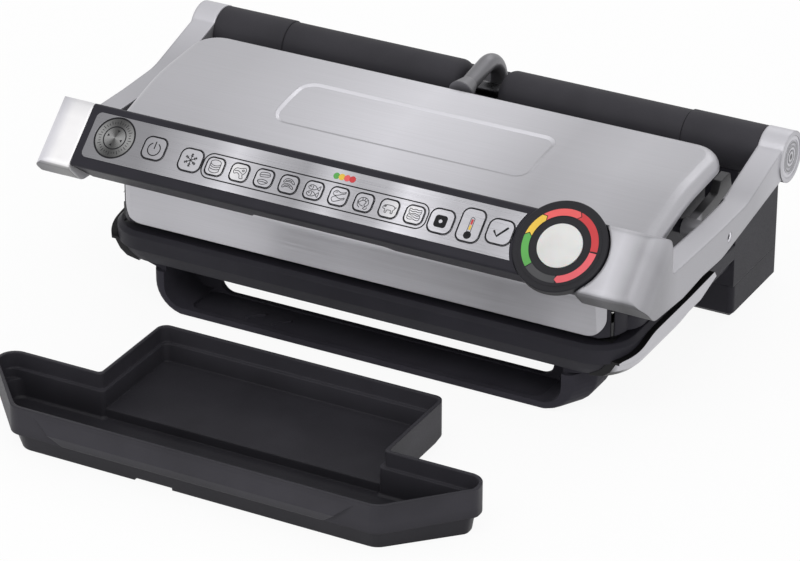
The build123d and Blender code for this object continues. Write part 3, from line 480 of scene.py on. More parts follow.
# %% Ring tints, key faces and printing ink
tints = {
    "red": (0.52, 0.030, 0.036),
    "salmon": (0.72, 0.095, 0.095),
    "yellow": (0.72, 0.47, 0.050),
    "green": (0.085, 0.34, 0.065),
    "grey": (0.045, 0.045, 0.049),
    "rose": (0.74, 0.105, 0.125),
}
ring_tints = {
    tint: moulded_plastic(f"ring_{tint}", colour, 0.42, 0.0008, 0.00001)
    for tint, colour in tints.items()
}
key_face = brushed_steel("key_face", 0.30, panel_painted_reflections(1.08))
ink = moulded_plastic("printed_ink", (0.008, 0.008, 0.010), 0.50, 0.0006, 0.000005, 0.2)
soft_ink = moulded_plastic("printed_grey", (0.018, 0.018, 0.020), 0.50, 0.0006, 0.000005, 0.2)
print("ring tints:", sorted(ring_tints))

# %% [markdown]
# The round emblem is turned metal. Its scratches run in circles, so the shine gathers in fans. That shine is
# painted into the colour: a painted sheen follows the angle round the centre, as a cosine of twice that angle, and
# fine rings change the roughness. Both are read in the plane of the panel, which leans back by the slope.

# %% Turned metal of the emblem
slope = math.atan2(31.0, 34.6)


def turned_metal(name, dark, pale, centre, roughness):
    """Metal turned round a centre: a painted sheen follows the angle, in fans, with fine rings over it."""
    finish, nodes, links, shader = start_finish(name, plain(pale), roughness, 1.0)
    turned = nodes.new("ShaderNodeMapping")
    turned.inputs["Rotation"].default_value = (-slope, 0.0, 0.0)
    links.new(vector_step(nodes, links, "SUBTRACT", own(nodes), centre), turned.inputs["Vector"])
    fans = nodes.new("ShaderNodeTexGradient")
    fans.gradient_type = "RADIAL"
    links.new(turned.outputs["Vector"], fans.inputs["Vector"])
    angle = number_step(nodes, links, "MULTIPLY", fans.outputs["Fac"], 4 * math.pi)
    painted_sheen_swing = number_step(nodes, links, "COSINE", angle)
    links.new(mapped(nodes, links, painted_sheen_swing, (-1.0, 1.0), (dark, pale)), shader.inputs["Base Color"])
    rings = nodes.new("ShaderNodeTexWave")
    rings.wave_type = "RINGS"
    rings.rings_direction = "Z"
    rings.inputs["Scale"].default_value = 900.0
    rings.inputs["Distortion"].default_value = 2.0
    links.new(turned.outputs["Vector"], rings.inputs["Vector"])
    rough = between(nodes, links, rings.outputs["Fac"], roughness - 0.05, roughness + 0.08)
    links.new(rough, shader.inputs["Roughness"])
    return finish


emblem_metal = turned_metal("emblem_metal", 0.09, 0.36, (-0.174, -0.0396, 0.1366), 0.30)
print("the panel and its emblem lean back", round(math.degrees(slope), 1), "degrees")

# %% [markdown]
# Each fixed part now takes its finish. A part's mesh stays as it came: only
# what lies in its material slots changes.

# %% Dress the parts
def dress(finish, *names):
    """Gives one finish to parts of the frame."""
    for name in names:
        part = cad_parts[name]
        part.data.materials.clear()
        part.data.materials.append(finish)


dress(left_arm_silver, "handle_arm_left")
dress(right_arm_silver, "handle_arm_right")
dress(trim_silver, "side_trim_left", "side_trim_right")
dress(sheet_steel, "lid_sheet")
dress(inlay_steel, "panel_inlay")
dress(black_plastic, "base_tub", "rear_housing", "rear_base", "lid_housing", "panel_housing", "cord_gland")
dress(tube_plastic, "tube_cover_left", "tube_cover_right", "hinge_sleeve_left", "hinge_sleeve_right")
dress(tray_plastic, "drip_tray")
dress(foot_plastic, "foot_frame")
dress(plate_coat, "lower_plate", "upper_plate")
dress(heater_steel, "lower_heater", "upper_heater")
dress(reflector_metal, "lower_reflector", "upper_reflector")
dress(shaft_steel, "hinge_shaft")
dress(screw_steel, "arm_pivot_screws")
dress(rubber, "rubber_feet")
dress(conduit_grey, "cable_conduit")
dress(lever_grey, "lid_levers")
dress(disc_metal, "hinge_discs")
dress(emblem_metal, "sensor_emblem")
dress(dome_white, "indicator_dome")
dress(bezel_black, "ring_bezel")
for tint, finish in ring_tints.items():
    dress(finish, f"ring_segment_{tint}")
food_keys = [f"program_key_{i + 1}" for i in range(9)]
dress(key_face, "power_key", "defrost_key", *food_keys, "manual_key", "temperature_key", "confirm_key")
print("dressed", len([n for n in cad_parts.values() if n.data.materials]))

# %% [markdown]
# The panel leans back. A drawing on it is flat, so it is easiest to draw it in
# millimetres across and up the panel, and to lift every point onto the slope
# in one step. Heights over the panel go along its own upright.

# %% The panel's own coordinates
panel_foot = np.array([0.0, -0.0595, 0.120])
along_x = np.array([1.0, 0.0, 0.0])
up_panel = np.array([0.0, math.cos(slope), math.sin(slope)])
off_panel = np.array([0.0, -math.sin(slope), math.cos(slope)])
inlay_height, key_height, emblem_height = 0.2, 0.5, 0.1


def on_panel(across, up, height):
    """Panel foot plus across times X, plus up times the slope, plus height times the upright."""
    across, up, height = np.broadcast_arrays(across, up, height)
    place = across[..., None] * along_x + up[..., None] * up_panel
    return panel_foot + (place + height[..., None] * off_panel) / 1000.0


print("a key's face is at", on_panel(0.0, 22.6, key_height).round(4))

# %% [markdown]
# Printing has a thickness that can't be seen but that a mesh needs. Each line
# is a flat bar that follows a path: at every point of the path the two edges
# lie half a width to each side, square to the direction of travel. Its foot
# lies a little under the face that it is printed on.

# %% Lines that follow a path
ink_sunk, ink_thickness = 0.03, 0.06


def travel(path, closed):
    """Unit direction at each point, from the neighbours on both sides."""
    if closed:
        step = np.roll(path, -1, 0) - np.roll(path, 1, 0)
    else:
        step = np.gradient(path, axis=0)
    return step / np.linalg.norm(step, axis=1)[:, None]


def printed_line(path, width, low, high, closed):
    """Points and faces of a bar: path plus and minus half the width, at two heights."""
    direction = travel(path, closed)
    side = np.stack([-direction[:, 1], direction[:, 0]], 1) * width / 2
    left, right_edge = path + side, path - side
    corners = np.stack([left, right_edge, right_edge, left], 1)
    heights = np.array([high, high, low, low])
    points = on_panel(corners[..., 0], corners[..., 1], heights[None, :])
    count = len(path)
    here = np.arange(count if closed else count - 1)
    after = (here + 1) % count
    faces = []
    for k in range(4):
        m = (k + 1) % 4
        faces.append(np.stack([here * 4 + k, here * 4 + m, after * 4 + m, after * 4 + k], 1))
    faces = np.concatenate(faces).tolist()
    if not closed:
        last = (count - 1) * 4
        faces += [[0, 3, 2, 1], [last, last + 1, last + 2, last + 3]]
    return points.reshape(-1, 3), faces


def print_lines(name, lines, finish, body, face):
    """One object from many lines on a face, each given as path, width and whether it closes."""
    points, faces, start = [], [], 0
    for path, width, closed in lines:
        p, f = printed_line(np.asarray(path, float), width, face - ink_sunk, face + ink_thickness, closed)
        points.append(p)
        faces += (np.array(f) + start).tolist()
        start += len(p)
    make_piece(name, np.concatenate(points), faces, finish, body)


print("printing is", ink_thickness, "mm thick")

# %% [markdown]
# Paths come from three sources: an arc of an ellipse, a square with round corners, and a smooth curve through
# points given one by one.

# %% Paths to draw with
def arc(x, s, rx, rs, start=0.0, end=360.0, count=40, lean=0.0):
    """Ellipse: centre plus rx cos and rs sin of the angle, turned by lean."""
    angle = np.radians(np.linspace(start, end, count, endpoint=abs(end - start) < 359.9))
    a, b = rx * np.cos(angle), rs * np.sin(angle)
    c, d = math.cos(math.radians(lean)), math.sin(math.radians(lean))
    return np.stack([x + a * c - b * d, s + a * d + b * c], 1)


def round_square(x, s, width, height, radius, count=8):
    """Rectangle whose corners are quarter circles of the given radius."""
    angle = np.radians(np.linspace(0, 90, count))
    w, h = width / 2 - radius, height / 2 - radius
    corners = []
    for k, (cx, cs) in enumerate(((w, h), (-w, h), (-w, -h), (w, -h))):
        swung = angle + k * np.pi / 2
        corners.append(np.stack([x + cx + radius * np.cos(swung), s + cs + radius * np.sin(swung)], 1))
    return np.concatenate(corners)


def smooth_path(points, closed=False, steps=8):
    """A cubic between each two points, its slope at a point being half the step between the neighbours."""
    p = np.asarray(points, float)
    before = np.roll(p, 1, 0) if closed else np.vstack([2 * p[0] - p[1], p[:-1]])
    after = np.roll(p, -1, 0) if closed else np.vstack([p[1:], 2 * p[-1] - p[-2]])
    beyond = np.roll(p, -2, 0) if closed else np.vstack([after[1:], after[-1:]])
    spans = len(p) if closed else len(p) - 1
    t = (np.arange(steps) / steps)[None, :, None]
    a, b, c, d = (q[:spans, None, :] for q in (before, p, after, beyond))
    curve = 0.5 * (
        2 * b + (c - a) * t + (2 * a - 5 * b + 4 * c - d) * t**2 + (3 * b - a - 3 * c + d) * t**3
    )
    curve = curve.reshape(-1, 2)
    return curve if closed else np.vstack([curve, p[-1:]])


print("a round square has", len(round_square(0, 0, 10, 10, 2)), "points")

# %% [markdown]
# Every key has a printed outline just inside its edge. The keys are listed by
# their middle, width and height, in millimetres on the panel: two at the left,
# nine for the foods at even steps, and three at the right.

# %% Outlines of the keys
food_key_width, food_key_height, food_key_step = 14.0, 13.4, 18.75
keys = {
    "power_key": (-142.4, 25.0, 17.6, 17.0),
    "defrost_key": (-113.2, 23.0, 17.6, 17.0),
    "manual_key": (75.3, 22.6, 18.0, 17.6),
    "temperature_key": (96.2, 24.6, 17.0, 24.0),
    "confirm_key": (117.2, 24.9, 18.6, 18.0),
}
for i, name in enumerate(food_keys):
    keys[name] = (-94.3 + food_key_step * i, 22.6, food_key_width, food_key_height)

marks = {}
outline_width = 0.9
for name, (x, s, width, height) in keys.items():
    corner = 0.32 * min(width, height) - outline_width / 2
    line = round_square(x, s, width - outline_width, height - outline_width, corner)
    marks[name] = [(line, outline_width, True)]
print("keys with an outline:", len(marks))

# %% [markdown]
# Power: a ring that is open at the top, with a short bar in the gap. Defrost:
# a snow crystal with six arms, each with two small side arms.

# %% Power and defrost
x, s, _, _ = keys["power_key"]
marks["power_key"].append((arc(x, s - 0.6, 4.6, 4.6, 118, 422, 40), 0.75, False))
marks["power_key"].append((np.array([[x, s - 0.4], [x, s + 5.0]]), 0.75, False))

x, s, _, _ = keys["defrost_key"]
for k in range(6):
    out = np.array([math.cos(math.radians(60 * k + 30)), math.sin(math.radians(60 * k + 30))])
    across = np.array([-out[1], out[0]])
    centre = np.array([x, s])
    marks["defrost_key"].append((np.array([centre, centre + out * 4.9]), 0.55, False))
    for distance_out, size in ((2.4, 1.3), (3.7, 1.1)):
        root = centre + out * distance_out
        for way in (-1, 1):
            marks["defrost_key"].append((np.array([root, root + (out + way * across) * size * 0.75]), 0.5, False))
print("lines of the snow crystal:", len(marks["defrost_key"]) - 1)

# %% [markdown]
# Nine foods, each a few strokes: patty, steak, roll, sausages, fish, drumstick, prawn, pig and bacon. They are
# drawn in a box of two by two round the key's middle and scaled to it. A stroke is a smooth curve through given
# points.

# %% The nine foods
def stroke(*points):
    """Smooth curve through points, marked as open."""
    return smooth_path(points), False


def loop_stroke(*points):
    """Smooth curve through points and back to the first, marked as closed."""
    return smooth_path(points, True), True


food_lines = {
    "patty": [
        (arc(0, 0.55, 0.78, 0.42), True),
        stroke((-0.78, 0.5), (-0.8, -0.1), (-0.72, -0.3), (0, -0.46), (0.72, -0.3), (0.8, -0.1), (0.78, 0.5)),
        stroke(
            (-0.74, -0.36), (-0.76, -0.62), (-0.4, -0.86), (0, -0.92), (0.4, -0.86), (0.76, -0.62),
            (0.74, -0.36),
        ),
        stroke((-0.76, 0.1), (-0.4, -0.08), (0, -0.13), (0.4, -0.08), (0.76, 0.1)),
    ],
    "steak": [
        loop_stroke(
            (-0.9, 0.1), (-0.6, 0.55), (0.1, 0.62), (0.75, 0.75), (0.95, 0.4), (0.8, 0.0),
            (0.55, -0.35), (0.75, -0.75), (0.3, -0.8), (0.1, -0.35), (-0.3, -0.1), (-0.7, -0.25),
        ),
        stroke((-0.75, 0.1), (-0.3, 0.22), (0.15, 0.05), (0.5, -0.15)),
        (arc(0.5, 0.35, 0.14, 0.12), True),
    ],
    "roll": [
        loop_stroke(
            (-0.75, 0.45), (-0.55, 0.8), (0.4, 0.9), (0.8, 0.65), (0.7, 0.35), (-0.1, 0.2), (-0.6, 0.2),
        ),
        stroke((-0.65, 0.42), (-0.1, 0.52), (0.7, 0.62)),
        loop_stroke((-0.8, -0.45), (-0.3, -0.2), (0.4, -0.25), (0.75, -0.5), (0.2, -0.85), (-0.4, -0.85)),
        stroke((-0.7, -0.55), (-0.1, -0.5), (0.65, -0.55)),
    ],
    "sausages": [
        loop_stroke(
            (-0.85, 0.35), (-0.5, 0.75), (0.2, 0.75), (0.8, 0.3), (0.75, 0.1), (0.2, 0.35),
            (-0.4, 0.35), (-0.75, 0.15),
        ),
        loop_stroke(
            (-0.85, -0.35), (-0.5, 0.02), (0.2, 0.0), (0.8, -0.4), (0.75, -0.6), (0.2, -0.38),
            (-0.4, -0.38), (-0.75, -0.58),
        ),
        stroke((-0.6, 0.45), (-0.1, 0.58), (0.4, 0.45)),
        stroke((-0.6, -0.28), (-0.1, -0.14), (0.4, -0.28)),
    ],
    "fish": [
        loop_stroke(
            (-0.85, 0.4), (-0.45, 0.75), (0.15, 0.65), (0.5, 0.4), (0.9, 0.75), (0.85, 0.1), (0.5, 0.3),
            (0.1, 0.1), (-0.5, 0.1),
        ),
        (arc(-0.55, 0.5, 0.05, 0.05, count=12), True),
        loop_stroke(
            (-0.85, -0.5), (-0.4, -0.15), (0.15, -0.25), (0.5, -0.5), (0.88, -0.15), (0.85, -0.85),
            (0.5, -0.6), (0.1, -0.82), (-0.5, -0.85),
        ),
        (arc(-0.5, -0.42, 0.05, 0.05, count=12), True),
        stroke((-0.25, 0.62), (-0.15, 0.4), (-0.25, 0.18)),
        stroke((-0.2, -0.25), (-0.1, -0.5), (-0.2, -0.75)),
    ],
    "drumstick": [
        loop_stroke(
            (-0.9, 0.35), (-0.5, 0.8), (0.1, 0.6), (0.55, 0.62), (0.9, 0.78), (0.85, 0.55), (0.5, 0.42),
            (0.0, 0.2), (-0.55, 0.05),
        ),
        loop_stroke(
            (-0.9, -0.45), (-0.5, -0.05), (0.1, -0.25), (0.55, -0.22), (0.9, -0.05), (0.88, -0.3),
            (0.5, -0.42), (0.0, -0.68), (-0.55, -0.85),
        ),
        stroke((-0.6, 0.5), (-0.3, 0.62)),
    ],
    "prawn": [
        loop_stroke(
            (-0.85, 0.1), (-0.5, 0.6), (0.1, 0.7), (0.6, 0.4), (0.75, -0.1), (0.45, -0.5), (0.2, -0.3),
            (0.35, 0.05), (0.05, 0.3), (-0.35, 0.2), (-0.7, -0.1),
        ),
        stroke((0.45, -0.5), (0.2, -0.85), (0.6, -0.9), (0.75, -0.6)),
        stroke((-0.3, 0.65), (-0.2, 0.25)),
        stroke((0.15, 0.68), (0.1, 0.28)),
        stroke((0.55, 0.45), (0.33, 0.12)),
        stroke((-0.85, 0.1), (-0.5, -0.35), (0.1, -0.55)),
        stroke((-0.85, 0.1), (-0.75, -0.5), (-0.35, -0.8)),
    ],
    "pig": [
        loop_stroke(
            (-0.9, 0.12), (-0.62, 0.42), (0.0, 0.5), (0.65, 0.42), (0.85, 0.1), (0.68, -0.15),
            (0.66, -0.6), (0.42, -0.6), (0.4, -0.25), (-0.2, -0.25), (-0.24, -0.6), (-0.48, -0.6),
            (-0.52, -0.18), (-0.85, -0.08),
        ),
        stroke((-0.6, 0.42), (-0.55, 0.2), (-0.42, 0.38)),
        stroke((0.85, 0.15), (0.98, 0.3), (0.9, 0.4)),
        (arc(-0.66, 0.2, 0.04, 0.04, count=10), True),
    ],
    "bacon": [
        loop_stroke(
            (-0.85, 0.78), (-0.4, 0.68), (0.0, 0.8), (0.45, 0.7), (0.85, 0.8), (0.85, 0.2), (0.45, 0.1),
            (0.0, 0.2), (-0.4, 0.08), (-0.85, 0.18),
        ),
        stroke((-0.8, 0.5), (-0.4, 0.38), (0.0, 0.5), (0.45, 0.4), (0.8, 0.5)),
        loop_stroke(
            (-0.85, -0.05), (-0.4, -0.15), (0.0, -0.03), (0.45, -0.13), (0.85, -0.03), (0.85, -0.65),
            (0.45, -0.75), (0.0, -0.63), (-0.4, -0.75), (-0.85, -0.65),
        ),
        stroke((-0.8, -0.35), (-0.4, -0.45), (0.0, -0.33), (0.45, -0.43), (0.8, -0.33)),
    ],
}
food_size, food_width = 4.9, 0.45
foods = {}
for name, strokes in zip(food_keys, food_lines.values()):
    x, s, _, _ = keys[name]
    foods[name] = [(path * food_size + np.array([x, s]), food_width, closed) for path, closed in strokes]
print("foods drawn:", ", ".join(food_lines))

# %% [markdown]
# The manual key has a dark square with a light dot, the temperature key a
# thermometer, and the last key a tick. A filled shape is a thin slab: its
# outline at two heights, one face on each, and walls between.

# %% Filled shapes
def print_patch(name, outline, finish, body, face):
    """One object from a closed outline at two heights, with one face on each and walls between."""
    outline = np.asarray(outline, float)
    count = len(outline)
    points = np.concatenate([
        on_panel(outline[:, 0], outline[:, 1], height) for height in (face + ink_thickness, face - ink_sunk)
    ])
    here = np.arange(count)
    after = (here + 1) % count
    walls = np.stack([here, here + count, after + count, after], 1).tolist()
    make_piece(name, points, [here.tolist(), (here[::-1] + count).tolist()] + walls, finish, body)


x, s, _, _ = keys["manual_key"]
x, s = x - 0.2, s - 0.2
print_patch("manual_square", round_square(x, s, 8.8, 8.6, 2.2), ink, "manual_key_cap", key_height)
print_patch(
    "manual_dot", arc(x, s, 1.3, 1.3, count=24), key_face, "manual_key_cap", key_height + ink_thickness,
)

x, s, _, _ = keys["temperature_key"]
marks["temperature_key"].append((round_square(x, s - 0.5, 2.6, 12.0, 1.2), 0.4, True))
for name, shape, finish in (
    ("bulb", arc(x, s - 7.0, 2.7, 2.7, count=30), ink),
    ("yellow", round_square(x, s - 1.6, 1.5, 3.4, 0.5), ring_tints["yellow"]),
    ("red", round_square(x, s + 2.4, 1.5, 3.8, 0.5), ring_tints["red"]),
):
    print_patch(f"thermometer_{name}", shape, finish, "temperature_key_cap", key_height)

x, s, _, _ = keys["confirm_key"]
tick = np.array([[x - 4.4, s + 0.2], [x - 1.4, s - 3.4], [x + 4.8, s + 4.0]])
marks["confirm_key"].append((tick, 1.5, False))

for name, lines in marks.items():
    print_lines(f"{name}_lines", lines, ink, f"{name}_cap", key_height)
for name, lines in foods.items():
    print_lines(f"{name}_food", lines, soft_ink, f"{name}_cap", key_height)
print("keys printed:", len(marks))

# %% [markdown]
# A long loop goes round the nine food keys, and four dots above it repeat the
# colours of the ring. They are printed on the inlay itself. Each dot overlaps
# the one before it, so it lies a hair higher.

# %% Loop and dots on the inlay
first, last = keys[food_keys[0]], keys[food_keys[-1]]
loop_margin = 2.3
loop = round_square(
    (first[0] + last[0]) / 2, first[1], last[0] - first[0] + food_key_width + 2 * loop_margin,
    food_key_height + 2 * loop_margin, 6.6, 14,
)
print_lines("food_loop", [(loop, 0.85, True)], ink, "handle_frame", inlay_height)
for k, tint in enumerate(("green", "yellow", "salmon", "red")):
    dot = arc(-7.5 + 4.0 * k, 36.3, 2.3, 2.3, count=28)
    print_patch(f"state_dot_{tint}", dot, ring_tints[tint], "handle_frame", inlay_height + 0.012 * k)
print("loop is", round(float(np.ptp(loop[:, 0])), 1), "mm long")

# %% [markdown]
# The emblem is a turned disc with a dial of ticks, a ring inside it and four
# small pointers. Every third tick is longer.

# %% Dial on the emblem
emblem_middle = np.array([-174.0, 25.8])
dial = [
    (arc(*emblem_middle, 14.8, 14.8, count=80), 1.1, True),
    (arc(*emblem_middle, 8.2, 8.2, count=60), 0.8, True),
]
for k in range(36):
    angle = math.radians(k * 10)
    out = np.array([math.cos(angle), math.sin(angle)])
    reach = 11.8 if k % 3 else 12.8
    dial.append((np.array([emblem_middle + out * 10.3, emblem_middle + out * reach]), 0.4, False))
print_lines("emblem_dial", dial, ink, "handle_frame", emblem_height)
for k in range(4):
    angle = math.radians(90 * k + 78)
    tip = emblem_middle + 5.4 * np.array([math.cos(angle), math.sin(angle)])
    pointer = arc(*tip, 1.2, 1.2, 0, 360, 3, math.degrees(angle) + 180)
    print_patch(f"emblem_pointer_{k + 1}", pointer, ink, "handle_frame", emblem_height)
print("lines on the dial:", len(dial))

# %% [markdown]
# The light ring is covered by a printed film. Its colours meet in arrow heads
# that point the way the food gets done, clockwise, and a black ground shows
# between them and round them. Each colour is a grid of three rows, and the
# middle row is turned on a little to make the arrow.

# %% Film on the light ring
ring_x, ring_s, ring_top = 160.5, 24.8, 2.15
arrow = -5.0


def ring_film(name, finish, radii, start, end, shifts, low, high, columns=40):
    """Slab on a ring: radius r and angle start + shift to end + shift, on three rows, at two heights."""
    share = np.linspace(0.0, 1.0, columns)
    middle = np.array([0.0, 1.0, 0.0])[:, None]
    angle = np.radians((start + shifts[0] * middle) * (1 - share) + (end + shifts[1] * middle) * share)
    radius = np.array([radii[0], sum(radii) / 2, radii[1]])[:, None]
    across, up = ring_x + radius * np.cos(angle), ring_s + radius * np.sin(angle)
    points = np.concatenate([on_panel(across, up, height).reshape(-1, 3) for height in (high, low)])
    under = 3 * columns
    grid = np.arange(under).reshape(3, columns)
    a, b, c, d = grid[:-1, :-1].ravel(), grid[1:, :-1].ravel(), grid[1:, 1:].ravel(), grid[:-1, 1:].ravel()
    faces = np.concatenate([np.stack([a, b, c, d], 1), np.stack([d, c, b, a], 1) + under])
    edge = np.concatenate([grid[0], grid[1:, -1], grid[-1, -2::-1], grid[-2:0:-1, 0]])
    after = np.roll(edge, -1)
    walls = np.stack([edge, after, after + under, edge + under], 1)
    make_piece(name, points, faces.tolist() + walls.tolist(), finish, "handle_frame")


ground_top = ring_top + 0.04
for k in range(2):
    ring_film(
        f"ring_ground_{k + 1}", bezel_black, (20.5, 28.1), 180 * k, 180 * (k + 1), (0, 0),
        ring_top - 0.02, ground_top, 60,
    )
film_ends = (
    ("red", 2.0, 77.0, 0.0, arrow), ("salmon", 77.0, 136.0, arrow, arrow),
    ("yellow", 136.0, 175.0, arrow, arrow), ("green", 175.0, 228.0, arrow, 0.0),
    ("grey", 228.0, 283.0, 0.0, 0.0), ("rose", 285.0, 361.0, arrow, 0.0),
)
film_gap = 0.8
for tint, start, end, first_shift, last_shift in film_ends:
    ring_film(
        f"ring_film_{tint}", ring_tints[tint], (20.9, 25.8), start + film_gap, end - film_gap,
        (first_shift, last_shift), ground_top - 0.01, ground_top + 0.05,
    )
print("colours on the film:", len(film_ends))

# %% [markdown]
# The arms turn on countersunk screws, and a bright ring lines the mouth of
# each screw's hole. It is a short tube with a thick wall: four loops of points
# round the screw, each joined to the next and the last to the first.

# %% Rings round the pivot screws
def faces_between(count, loops, closed=True):
    """Quads from each loop of count points to the next, and from the last to the first where closed."""
    here = np.arange(count)
    after = np.roll(here, -1)
    quads = []
    for k in range(loops if closed else loops - 1):
        m = (k + 1) % loops
        quads.append(np.stack([here + k * count, after + k * count, after + m * count, here + m * count], 1))
    return np.concatenate(quads)


ring_count = 40
turns = np.linspace(0, 2 * np.pi, ring_count, endpoint=False)
ring_profile = ((0.0033, 0.2271), (0.0033, 0.2288), (0.0022, 0.2280), (0.0022, 0.2271))
for side, way in (("left", -1), ("right", 1)):
    loops = [
        np.column_stack([
            np.full(ring_count, way * out), pivot_y + radius * np.cos(turns), pivot_z + radius * np.sin(turns),
        ])
        for radius, out in ring_profile
    ]
    quads = faces_between(ring_count, len(loops))
    quads = quads if way > 0 else quads[:, ::-1]
    make_piece(f"pivot_ring_{side}", np.concatenate(loops), quads.tolist(), bright_metal, "handle_frame")
print("pivot rings at", pivot_y, pivot_z)

# %% [markdown]
# The recess in the lid's top was pressed into the sheet, so its wall leans. A
# ring with a sloping face follows the edge of the recess. Its outer edge lies
# at the height of the sheet beside the recess and its inner edge on the floor
# of the recess, both read from the sheet by a ray from above.

# %% Edge of the recess
from mathutils import Vector
from mathutils.bvhtree import BVHTree

recess_x, recess_y = (-99.0, 97.0), (36.5, 89.0)
recess_corner = 12.0
sheet_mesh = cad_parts["lid_sheet"].data
sheet_tree = BVHTree.FromPolygons([v.co for v in sheet_mesh.vertices], [f.vertices for f in sheet_mesh.polygons])


def recess_edge(inset):
    """Edge of the recess in millimetres, moved inwards by the inset, with even steps on its long sides."""
    width, height = recess_x[1] - recess_x[0], recess_y[1] - recess_y[0]
    middle = (sum(recess_x) / 2, sum(recess_y) / 2)
    corners = round_square(*middle, width - 2 * inset, height - 2 * inset, recess_corner - inset, 10)
    edge = []
    for start, end in zip(corners, np.roll(corners, -1, 0)):
        steps = 24 if np.linalg.norm(end - start) > 12 else 1
        share = np.arange(steps)[:, None] / steps
        edge.append(start + (end - start) * share)
    return np.concatenate(edge)


def sheet_height(points):
    """Height of the sheet under each point, in metres."""
    hits = [sheet_tree.ray_cast(Vector((x / 1000, y / 1000, 0.3)), Vector((0, 0, -1))) for x, y in points]
    return np.array([hit[0].z for hit in hits])


print("points on the recess's edge:", len(recess_edge(0.0)))

# %% [markdown]
# Bent steel shows by the light on it, and here that light is painted: the wall gets a painted highlight where it
# faces the front and painted shade where it faces away. The painted tone follows how well the way that a face
# looks agrees with a direction.

# %% Sloping wall of the recess
def pressed_edge(name, towards, dark, pale):
    """Sheet steel with painted light and shade by the way a face looks: pale towards a direction, dark away from
    it.
    """
    finish = painted_silver(name, pale, 0.36)
    nodes, links = finish.node_tree.nodes, finish.node_tree.links
    agree = vector_step(nodes, links, "DOT_PRODUCT", own(nodes, "Normal"), towards, "Value")
    shade = toned(nodes, links, agree, [(-0.4, dark), (0.1, 0.55), (0.4, pale)])
    links.new(shade, nodes["Principled BSDF"].inputs["Base Color"])
    return finish


# The painted light on the recess wall comes from the front.
ramp_steel = pressed_edge("pressed_edge", (0.30, -0.95, 0.0), 0.16, 0.80)
ramp_width, ramp_thickness = 2.8, 0.0003
outer, inner = recess_edge(0.05), recess_edge(ramp_width)
top = sheet_height(recess_edge(-0.6)) - 0.00003
bottom = sheet_height(inner) + 0.00002
rows = [
    np.column_stack([outer / 1000, top]),
    np.column_stack([inner / 1000, bottom]),
    np.column_stack([inner / 1000, bottom - ramp_thickness]),
    np.column_stack([outer / 1000, bottom - ramp_thickness]),
]
make_piece("recess_ramp", np.concatenate(rows), faces_between(len(outer), len(rows)).tolist(), ramp_steel, "lid")
print("recess is", round(float((top - bottom).max()) * 1000, 2), "mm deep")

# %% [markdown]
# The conduit's foot is a short trumpet. A thin plate closes its mouth, where
# the wires go down into the lid. The plate is a circle at two depths along the
# mouth's own axis, which looks forwards and a little down.

# %% Plate in the mouth of the conduit
mouth_centre = np.array([0.0, 0.1297, 0.1400])
mouth_tilt = math.radians(10)
mouth_axis = np.array([0.0, -math.cos(mouth_tilt), -math.sin(mouth_tilt)])
mouth_up = np.array([0.0, -math.sin(mouth_tilt), math.cos(mouth_tilt)])
mouth_radius, mouth_count = 0.0093, 48
turns = np.linspace(0, 2 * np.pi, mouth_count, endpoint=False)[:, None]
circle = mouth_radius * (np.cos(turns) * along_x + np.sin(turns) * mouth_up)
mouth_points = np.concatenate([mouth_centre + circle + mouth_axis * depth for depth in (0.00005, 0.0004)])
here = np.arange(mouth_count)
mouth_faces = faces_between(mouth_count, 2, closed=False).tolist()
mouth_faces += [here[::-1].tolist(), (here + mouth_count).tolist()]
make_piece("conduit_mouth", mouth_points, mouth_faces, conduit_grey, "lid")
print("mouth plate is", round(float(np.ptp(mouth_points[:, 0])) * 1000, 1), "mm wide")

# %% [markdown]
# The studio is plain: a white floor that still takes a shadow, and a white
# surround for the camera and for reflections. Whatever looks straight at them,
# or sees them in a mirror, gets white. The object itself is lit at a plain
# level, because all other rays meet a plain floor and a weaker surround.

# %% Floor and surround
def seen_directly(nodes, links):
    """One for rays that come from the camera, a mirror or glass, and zero for the rest."""
    path_kind = nodes.new("ShaderNodeLightPath")
    total = path_kind.outputs["Is Camera Ray"]
    for kind in ("Is Glossy Ray", "Is Transmission Ray"):
        larger = nodes.new("ShaderNodeMath")
        larger.operation = "MAXIMUM"
        links.new(total, larger.inputs[0])
        links.new(path_kind.outputs[kind], larger.inputs[1])
        total = larger.outputs["Value"]
    return total


half_floor = 6.0
floor_white, floor_glow_share, surround_strength = 0.90, 0.92, 0.75
floor_mesh = bpy.data.meshes.new("floor")
floor_corners = [(x * half_floor, y * half_floor, 0.0) for x, y in ((-1, -1), (1, -1), (1, 1), (-1, 1))]
floor_mesh.from_pydata(floor_corners, [], [(0, 1, 2, 3)])
floor = bpy.data.objects.new("floor", floor_mesh)
bpy.context.scene.collection.objects.link(floor)
floor_finish, nodes, links, shader = start_finish("floor_white", plain(floor_white), 0.9)
shader.inputs["Specular IOR Level"].default_value = 0.1
cloud = stretched_noise(nodes, links, even, 3.0)
floor_shade = shade_range(nodes, links, cloud, plain(floor_white - 0.005), plain(floor_white + 0.005))
links.new(floor_shade, shader.inputs["Base Color"])
glow = nodes.new("ShaderNodeEmission")
glow.inputs["Strength"].default_value = 1.0
share = number_step(nodes, links, "MULTIPLY", seen_directly(nodes, links), floor_glow_share)
blend = nodes.new("ShaderNodeMixShader")
links.new(share, blend.inputs["Fac"])
links.new(shader.outputs["BSDF"], blend.inputs[1])
links.new(glow.outputs["Emission"], blend.inputs[2])
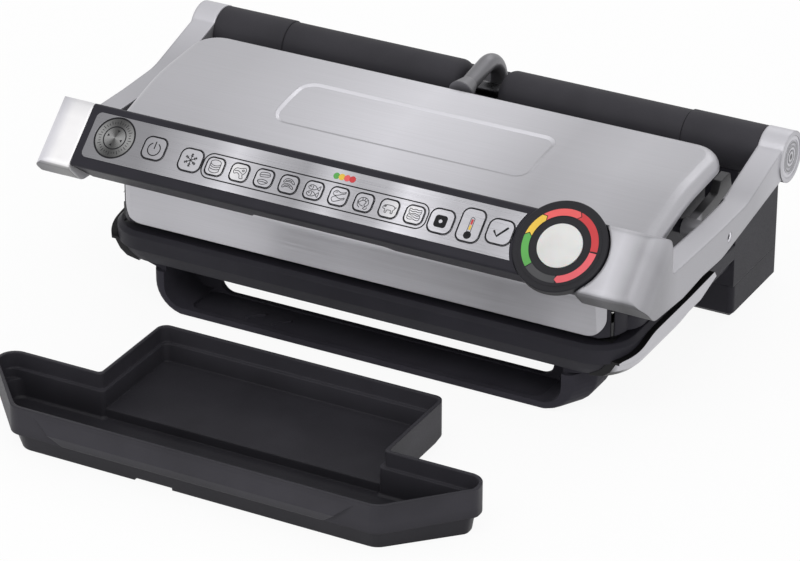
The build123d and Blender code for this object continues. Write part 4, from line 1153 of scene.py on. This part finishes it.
links.new(blend.outputs["Shader"], nodes["Material Output"].inputs["Surface"])
floor_mesh.materials.append(floor_finish)

world = bpy.data.worlds.new("studio")
bpy.context.scene.world = world
world.use_nodes = True
nodes, links = world.node_tree.nodes, world.node_tree.links
surround = nodes["Background"]
surround.inputs["Color"].default_value = (1, 1, 1, 1)
surround.inputs["Strength"].default_value = surround_strength
seen = nodes.new("ShaderNodeBackground")
seen.inputs["Strength"].default_value = 1.0
mixed = nodes.new("ShaderNodeMixShader")
links.new(seen_directly(nodes, links), mixed.inputs["Fac"])
links.new(surround.outputs["Background"], mixed.inputs[1])
links.new(seen.outputs["Background"], mixed.inputs[2])
links.new(mixed.outputs["Shader"], nodes["World Output"].inputs["Surface"])
print("floor is", 2 * half_floor, "m wide")

# %% [markdown]
# Four large soft lamps light the grill: a main one from the front and above, a
# weaker one at the right, a low one that lights the fronts of the panel and
# the tray, and one from behind for the rims.

# %% Lamps
def soft_lamp(name, place, towards, width, height, power):
    """Rectangular lamp at a place, facing a point."""
    data = bpy.data.lights.new(name, "AREA")
    data.shape = "RECTANGLE"
    data.size, data.size_y, data.energy = width, height, power
    lamp = bpy.data.objects.new(name, data)
    bpy.context.scene.collection.objects.link(lamp)
    away = np.array(place, float) - np.array(towards, float)
    away /= np.linalg.norm(away)
    across = np.cross([0.0, 0.0, 1.0], away)
    across /= np.linalg.norm(across)
    matrix = np.eye(4)
    matrix[:3, 0], matrix[:3, 1], matrix[:3, 2], matrix[:3, 3] = across, np.cross(away, across), away, place
    lamp.matrix_world = Matrix(matrix.tolist())


soft_lamp("key_lamp", (0.2, -1.7, 2.5), (0, 0, 0.1), 1.8, 1.2, 16)
soft_lamp("fill_lamp", (2.0, -1.2, 1.4), (0, 0, 0.1), 1.2, 1.2, 7)
soft_lamp("front_lamp", (-1.0, -2.6, 0.7), (0, 0, 0.08), 1.6, 1.0, 7)
soft_lamp("back_lamp", (0.2, 2.2, 1.8), (0, 0.1, 0.1), 2.0, 0.8, 8)
print("lamps:", len(bpy.data.lights))
